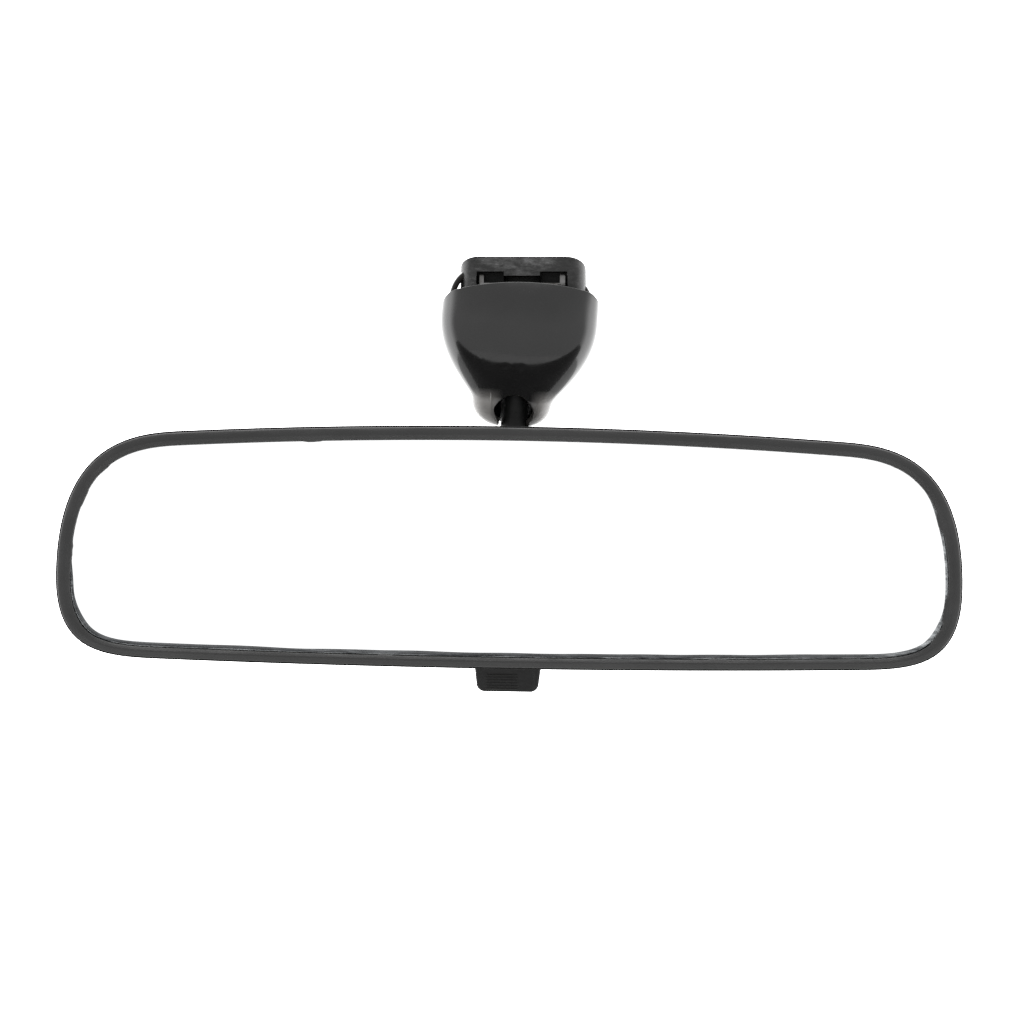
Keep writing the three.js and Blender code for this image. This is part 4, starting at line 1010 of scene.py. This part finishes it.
def shell_shares(count, near):
    """Shares from 0 to 1 with two close rows at each end, `near` apart."""
    inner = [near * 2.6 + (1 - near * 5.2) * i / (count - 1) for i in range(count)]
    return [0, near, *inner, 1 - near, 1]


# Small dents in the cover's front near the throat: x, z, radius, depth, mm.
COVER_DENTS = (
    (1.8, 50.6, 0.9, 0.08),
    (-2.6, 50.4, 0.7, 0.09),
    (-4.3, 49.8, 0.6, 0.07),
    (0.2, 47.6, 0.5, 0.06),
    (4.4, 48.2, 0.8, 0.05),
)


def cover_point(across, along, z):
    """A point of the front cover's skin, with its crease, seam and small dents."""
    half = cover_half(z)
    depth = COVER_SEAM - cover_front_y(z)
    x = half * across
    y = COVER_SEAM + depth * along
    seam = exp(-((x / 0.22) ** 2)) * smoothstep(52.5, 49, z)
    dent = 0.0
    for dent_x, dent_z, size, deep in COVER_DENTS:
        dent += deep * exp(-(((x - dent_x) / size) ** 2 + ((z - dent_z) / size) ** 2))
    return Vector((x, y + 0.10 * seam + dent, z))


def cover_front_shell():
    columns = front_columns(73)
    ends = [(slot_end(across), arch_end(across)) for across, _ in columns]
    rows = [
        [
            cover_point(across, along, low + (high - low) * share)
            for (across, along), (low, high) in zip(columns, ends)
        ]
        for share in shell_shares(52, 0.006)
    ]
    made = make_object("cover_front_shell", *grid(rows), TO_COVER, 60)
    make_cover_wall(made)
    return finish_piece(made, "mount", "gloss_black_plastic", ["arm_cover_front"])


def make_cover_wall(made):
    """Wall thickness inwards with a satin inside and rim, then subdivision for round rims."""
    give_materials(made, (GLOSS, COVER_INSIDE))
    wall = thicken(made, COVER_WALL, -1)
    wall.material_offset = 1
    wall.material_offset_rim = 1
    smooth = made.modifiers.new("smooth", "SUBSURF")
    smooth.levels = smooth.render_levels = 2
    apply_modifiers(made, 60)


# Sections of the rear cover: centre y, z, tilt, half-width, reach back, reach front.
REAR_SECTIONS = (
    (37, 35, 0, 7.5, 7, 7),
    (37, 38.5, 0, 10.2, 9.4, 10),
    (37.8, 42, 3, 11.2, 10, 13),
    (41, 48.5, 10, 16.1, 11.8, 20),
    (45.5, 56, 18, 20.2, 14.5, 26),
    (49.5, 64.3, 26, 21.5, 16.8, 28),
    (52.2, 71.9, 30, 21, 17.3, 17.3),
    (56, 78.5, 30, 20.7, 17.2, 17.2),
)


def rear_section(share):
    """Section values at a share of the cover's length, on a smooth curve through the table."""
    last = len(REAR_SECTIONS) - 1
    place = min(max(share, 0), 1) * last
    index = min(int(place), last - 1)
    t = place - index
    near = [REAR_SECTIONS[min(max(index + k, 0), last)] for k in (-1, 0, 1, 2)]
    return [
        b + 0.5 * t * (c - a + t * (2 * a - 5 * b + 4 * c - d + t * (3 * (b - c) + d - a)))
        for a, b, c, d in zip(*near)
    ]


def rear_point(share, turn):
    """A point of the rear cover: turn runs 0..1 from the left seam over the back to the right."""
    y, z, tilt, half, back, front = rear_section(share)
    tilt = radians(tilt)
    seam = COVER_SEAM + 0.3
    reach = (seam - y) / max(cos(tilt), 0.1)
    part = min(max(reach / (front if reach < 0 else back), -0.98), 0.98)
    start = copysign(asin(abs(part) ** (SECTION_POWER / 2)), part)
    angle = pi - start + (2 * start - pi) * turn
    across, along = superellipse(angle)
    reach = along * (front if along < 0 else back)
    return Vector((half * across, y + reach * cos(tilt), z - reach * sin(tilt)))


def seat_depth(point):
    """Distance of a point below the seat face."""
    return -(point - SEAT).dot(Vector((0, sin(SEAT_RAKE), cos(SEAT_RAKE))))


def cover_rear_shell():
    turns = [i / 64 for i in range(65)]
    start = 0.02
    ends = [
        bisect(0.6, 0.97, lambda share: seat_depth(LEANING @ rear_point(share, turn)) > 1)
        for turn in turns
    ]
    rows = [
        [rear_point(start + (end - start) * share, turn) for turn, end in zip(turns, ends)]
        for share in shell_shares(46, 0.012)
    ]
    made = make_object("cover_rear_shell", *grid(rows), TO_COVER, 60)
    make_cover_wall(made)
    button_way = box_object("way_tool", (-12.5, 12, -6.5), (12.5, 60, 6), TO_SEAT)
    carve(made, [button_way], smooth_angle=60)
    return finish_piece(made, "mount", "gloss_black_plastic", ["arm_cover_rear"])


# ---- windshield seat block

BASE_FRONT = 34
BASE_HALF = 17.9
BASE_CORNER = 5.5
BASE_THICK = 11
BASE_REAR_Y = 47


def in_recess(at):
    """Whether a point of the block lies in its windows or groove."""
    return abs(at.x) < 13.1 and 34.7 < at.y < 38.7 and at.z < 78.2


def seat_block():
    """The block on the windshield: upright faces, a raked top with the button's channel."""
    corner_x, corner_y = BASE_HALF - BASE_CORNER, BASE_FRONT + BASE_CORNER
    turns = [pi * i / 48 for i in range(49)]
    plan = arc(BASE_CORNER, -90, 0, 16, (corner_x, corner_y))
    plan += [(BASE_HALF * cos(t), BASE_REAR_Y + 15 * sin(t)) for t in turns]
    plan += arc(BASE_CORNER, 180, 270, 16, (-corner_x, corner_y))
    ring = [[Vector((x, y, z)) for x, y in plan] for z in (45, 100)]
    block = make_object("seat_block", *loft(ring), TO_BASE)
    slab = box_object("slab", (-50, -50, -BASE_THICK), (50, 50, 0), TO_SEAT)
    carve(block, [slab], "INTERSECT")
    tools = [
        box_object("slot_mouth", (-9.6, 4.5, -2), (9.6, 34, 5), TO_SEAT),
        box_object("slot_wide", (-11.3, 4.5, -6), (11.3, 34, -1.5), TO_SEAT),
        box_object("groove", (-13, 32, 60), (13, 38.5, 76.9), TO_BASE),
    ]
    for middle in (-9, 9):
        low, high = (middle - 3.85, 32, 60), (middle + 3.85, 38.5, 78.1)
        tools.append(box_object("notch", low, high, TO_BASE))
    carve(block, tools)
    round_edges(block, 0.35, 3)
    finish_piece(block, "mount", "base_casting", ["mount_base"], BASE, SHADOW_PLASTIC)
    choose_faces(block, TO_BASE, in_recess)
    return block


def spring_clip():
    """Bent strip: a bar along the groove whose two ends stand up in the notches."""
    front = 35.6
    tongues = []
    for low, high in ((10.7, 12.2), (-12.2, -11.0)):
        rows = []
        for i in range(13):
            share = i / 12
            z = 74.5 + 2.9 * share
            y = front + 0.4 + 0.55 * (1 - cos(share * 1.3))
            rows.append([Vector((low + (high - low) * k / 8, y, z)) for k in range(9)])
        tongues.append(make_object("tongue", *grid(rows), TO_BASE))
    xs = [-12.2 + 24.4 * k / 24 for k in range(25)]
    rows = [[Vector((x, front + 2.5 * i / 4, 74.6)) for x in xs] for i in range(5)]
    clip = make_object("spring_clip", *grid(rows), TO_BASE)
    for part in (*tongues, clip):
        thicken(part, 0.7, 0)
        apply_modifiers(part)
    carve(clip, tongues, "UNION")
    round_edges(clip, 0.12, 2)
    return finish_piece(clip, "mount", "plated_steel", ["retaining_clip"], DULL_SHADED_STEEL)


# ---- stay, ball stud, joint


def stay_column():
    """The turned stay from its chamfered foot up into the cover, with the cross pin's hole."""
    profile = [(3.0, 24.3), (3.75, 24.3), (4.1, 24.45), (4.25, 24.8), (4.25, 30), (4.25, 38)]
    profile += [(5.4, 50), (6.6, 62), (7.2, 66)]
    profile += [(0.01, 66), (0.01, 37.3), (2.95, 37.3), (2.95, 24.3)]
    rings = turned(profile, 72, UPWARD, Vector((0, STAY_Y, 0)))
    made = make_object("stay_column", *loft(rings, closed=True), TO_MOUNT, 40)
    pin_at = Vector((0, STAY_Y, 31))
    pin_hole = rod_object("pin_hole", 1.1, (-10, 10), RIGHTWARD, pin_at, TO_MOUNT)
    carve(made, [pin_hole], smooth_angle=40)
    return finish_piece(made, "mount", "black_steel", ["stay_arm"], STAY_PAINT)


def stay_flange():
    """Plate at the stay's head that the two base screws hold."""
    made = box_object("stay_flange", (-16, 0.5, -14.3), (16, 12.5, -11.3), TO_SEAT)
    round_edges(made, 1.2, 4)
    return finish_piece(made, "mount", "black_steel", None, STAY_PAINT)


def ball_and_neck():
    """Ball, bent neck and spigot in one swept skin."""
    join = asin(NECK_RADIUS / BALL_RADIUS)
    path = []
    steps = 40
    for i in range(steps + 1):
        angle = pi - (pi - join) * i / steps
        at = BALL + NECK_AHEAD * BALL_RADIUS * cos(angle)
        path.append((at, NECK_AHEAD, max(BALL_RADIUS * sin(angle), 0.02)))
    start = BALL_RADIUS * cos(join) + 0.5
    for i, fillet in enumerate((0.35, 0.12, 0.0)):
        path.append((BALL + NECK_AHEAD * (start + 0.6 * i), NECK_AHEAD, NECK_RADIUS + fillet))
    across = Vector((0, -NECK_AHEAD.z, NECK_AHEAD.y))
    centre = BALL + NECK_AHEAD * NECK_STRAIGHT + across * NECK_BEND
    bend = pi / 2 - NECK_RISE
    for i in range(13):
        angle = -bend * (1 - i / 12)
        point = centre + Vector((0, cos(angle), sin(angle))) * NECK_BEND
        path.append((point, Vector((0, -sin(angle), cos(angle))), NECK_RADIUS))
    for z, r in ((23.4, 3.75), (23.8, 3.6), (24.0, 3.3), (24.0, 2.85), (36.6, 2.85), (37.0, 2.5)):
        path.append((Vector((0, STAY_Y, z)), UPWARD, r))
    turns = [2 * pi * k / 64 for k in range(64)]
    rings = []
    for point, along, r in path:
        side = along.cross(RIGHTWARD)
        rings.append([point + (RIGHTWARD * cos(t) + side * sin(t)) * r for t in turns])
    made = make_object("ball_and_neck", *loft(rings), TO_MOUNT, 40)
    return finish_piece(made, "mount", "black_steel", ["ball_stud"], BLACK_STEEL)


def socket_ring():
    """Screwed collar round the ball: a part of a hollow sphere, open where the neck leaves it."""
    inner, outer, mouth = 11.75, 14.2, 0.942
    profile = [(r, h) for h, r in arc(outer, 89.3, 55, 12)]
    profile += [((outer - 0.4) * sin(mouth), (outer + 0.02) * cos(mouth))]
    profile += [(r, h) for h, r in arc(inner, 54.5, 89.3, 12)]
    rings = turned(profile, 96, NECK_AHEAD, BALL)
    made = make_object("socket_ring", *loft(rings, closed=True), TO_HEAD, 40)
    return finish_piece(made, "bracket", "zinc_casting", ["socket_collar"], ZINC)


def cover_screw():
    """Pan-head screw up into the stay, with a cross recess."""
    shank, length, r, h = 1.15, 9.5, 2.7, 1.7
    lean = radians(48.4)
    axis = Vector((0, -cos(lean), sin(lean)))
    at = Vector((0, 58.4, 51.6)) - axis * 0.6
    place = TO_MOUNT @ Matrix.Translation(at) @ Matrix.Rotation(pi / 2 - lean, 4, "X")
    crown = ((0.5, 0.98), (0.75, 0.9), (0.92, 0.68), (1, 0.38))
    profile = [(0.02, -h)] + [(r * across, -h * up) for across, up in crown]
    profile += [(r, -0.05), (r - 0.05, 0), (shank, 0)]
    pitch = 0.5
    for i in range(int((length - shank) / pitch)):
        z = pitch * (i + 0.5)
        profile += [(shank * 0.82, z), (shank, z + pitch / 2)]
    profile += [(shank * 0.5, length - 0.3), (0.02, length)]
    rings = turned(profile, 48, UPWARD, Vector())
    made = make_object("cover_screw_fine", *loft(rings), place, 30)
    arm, half, top, bottom = r * 0.55, r * 0.13, -h * 1.5, -h * 0.35
    carve(made, [
        box_object("recess", (-x, -y, top), (x, y, bottom), place)
        for x, y in ((arm, half), (half, arm))
    ])
    return finish_piece(made, "mount", "plated_steel", ["cover_screw"], PLATED)


# ---- CAD nodes that stay

KEPT_FINISHES = {
    ZINC: ("toggle_bracket",),
    NYLON: ("ball_seat",),
    BACKING: ("glass_backing",),
    FOAM: ("glass_pad_left", "glass_pad_right"),
    PLATED: (
        "preload_washer", "seat_clamp_ring", "stud_cross_pin",
        "base_screw_left", "base_screw_right",
        "flip_pivot_pin", "pin_clip_left", "pin_clip_right",
        "lever_pin", "lever_link_pin", "detent_spring", "detent_screw",
    ),
}


def finish_kept_nodes():
    for material, names in KEPT_FINISHES.items():
        for name in names:
            for slot in frame["nodes"][name].material_slots:
                slot.material = material


# ---- studio and camera

FRONT_LIGHT = 1.12
SIDE_LIGHT = 3.8
OVERHEAD_SHARE = 0.8
CEILING_LIGHT = 3.5
WORLD_TURN = (-0.3, 0.12)
WORLD_RISE = (0.35, 0.95)
CEILING_RISE = (0.92, 1.0)


def studio_world():
    """Soft white surroundings: brighter beside and behind the part than in front and above."""
    world = bpy.data.worlds.new("studio")
    make = Nodes(world, "Generated", 1)
    back, up = make.along("Y"), make.along("Z")
    smooth = {"kind": "SMOOTHSTEP"}
    around = make.between(back, FRONT_LIGHT, SIDE_LIGHT, *WORLD_TURN, **smooth)
    risen = make.between(up, 1.0, OVERHEAD_SHARE, *WORLD_RISE, **smooth)
    ceiling = make.between(up, 0.0, CEILING_LIGHT, *CEILING_RISE, **smooth)
    strength = make.combine("ADD", make.combine("MULTIPLY", around, risen), ceiling)
    make.feed(make.tree.nodes["Background"], {"Color": (1, 1, 1, 1), "Strength": strength})
    bpy.context.scene.world = world


def studio_floor():
    """A pale round floor far below the part."""
    radius, below = 0.7, -0.42
    profile = [(radius * share, 0) for share in (1, 0.8, 0.4)]
    rings = turned(profile, 96, UPWARD, Vector())
    place = Matrix.Translation((0, 0, below))
    floor = make_object("studio_floor", *loft(rings, first_end=False), place)
    make = Shader("pale_floor")
    mottle = make.noise(60, 4)
    colour = make.colours(mottle, (0.3, 0.5), (0.7, 0.54))
    roughness = make.between(mottle, 0.6, 0.75)
    give_materials(floor, [make.finish(Base_Color=colour, Roughness=roughness)])


CAMERA = {"at": (0.00032, -1.238, -0.0703), "roll": radians(2.8), "lens": 152.9}


def photo_camera():
    """Square in front of the head; the mount leans clockwise in the picture."""
    data = bpy.data.cameras.new("camera")
    data.lens = CAMERA["lens"]
    data.sensor_width = 36
    data.clip_start, data.clip_end = 0.01, 50
    camera = bpy.data.objects.new("camera", data)
    turn = Matrix.Rotation(-CAMERA["roll"], 4, "Y") @ Matrix.Rotation(pi / 2, 4, "X")
    camera.matrix_world = Matrix.Translation(CAMERA["at"]) @ turn
    bpy.context.scene.collection.objects.link(camera)
    bpy.context.scene.camera = camera


# ---- assembly

photo_camera()
studio_world()
studio_floor()

case_shell()
bezel_ring()
mirror_glass()
flip_tab()
lever_hub()
cover_front_shell()
cover_rear_shell()
seat_block()
spring_clip()
stay_column()
stay_flange()
ball_and_neck()
socket_ring()
cover_screw()
finish_kept_nodes()

bpy.context.scene.view_settings.view_transform = "Standard"
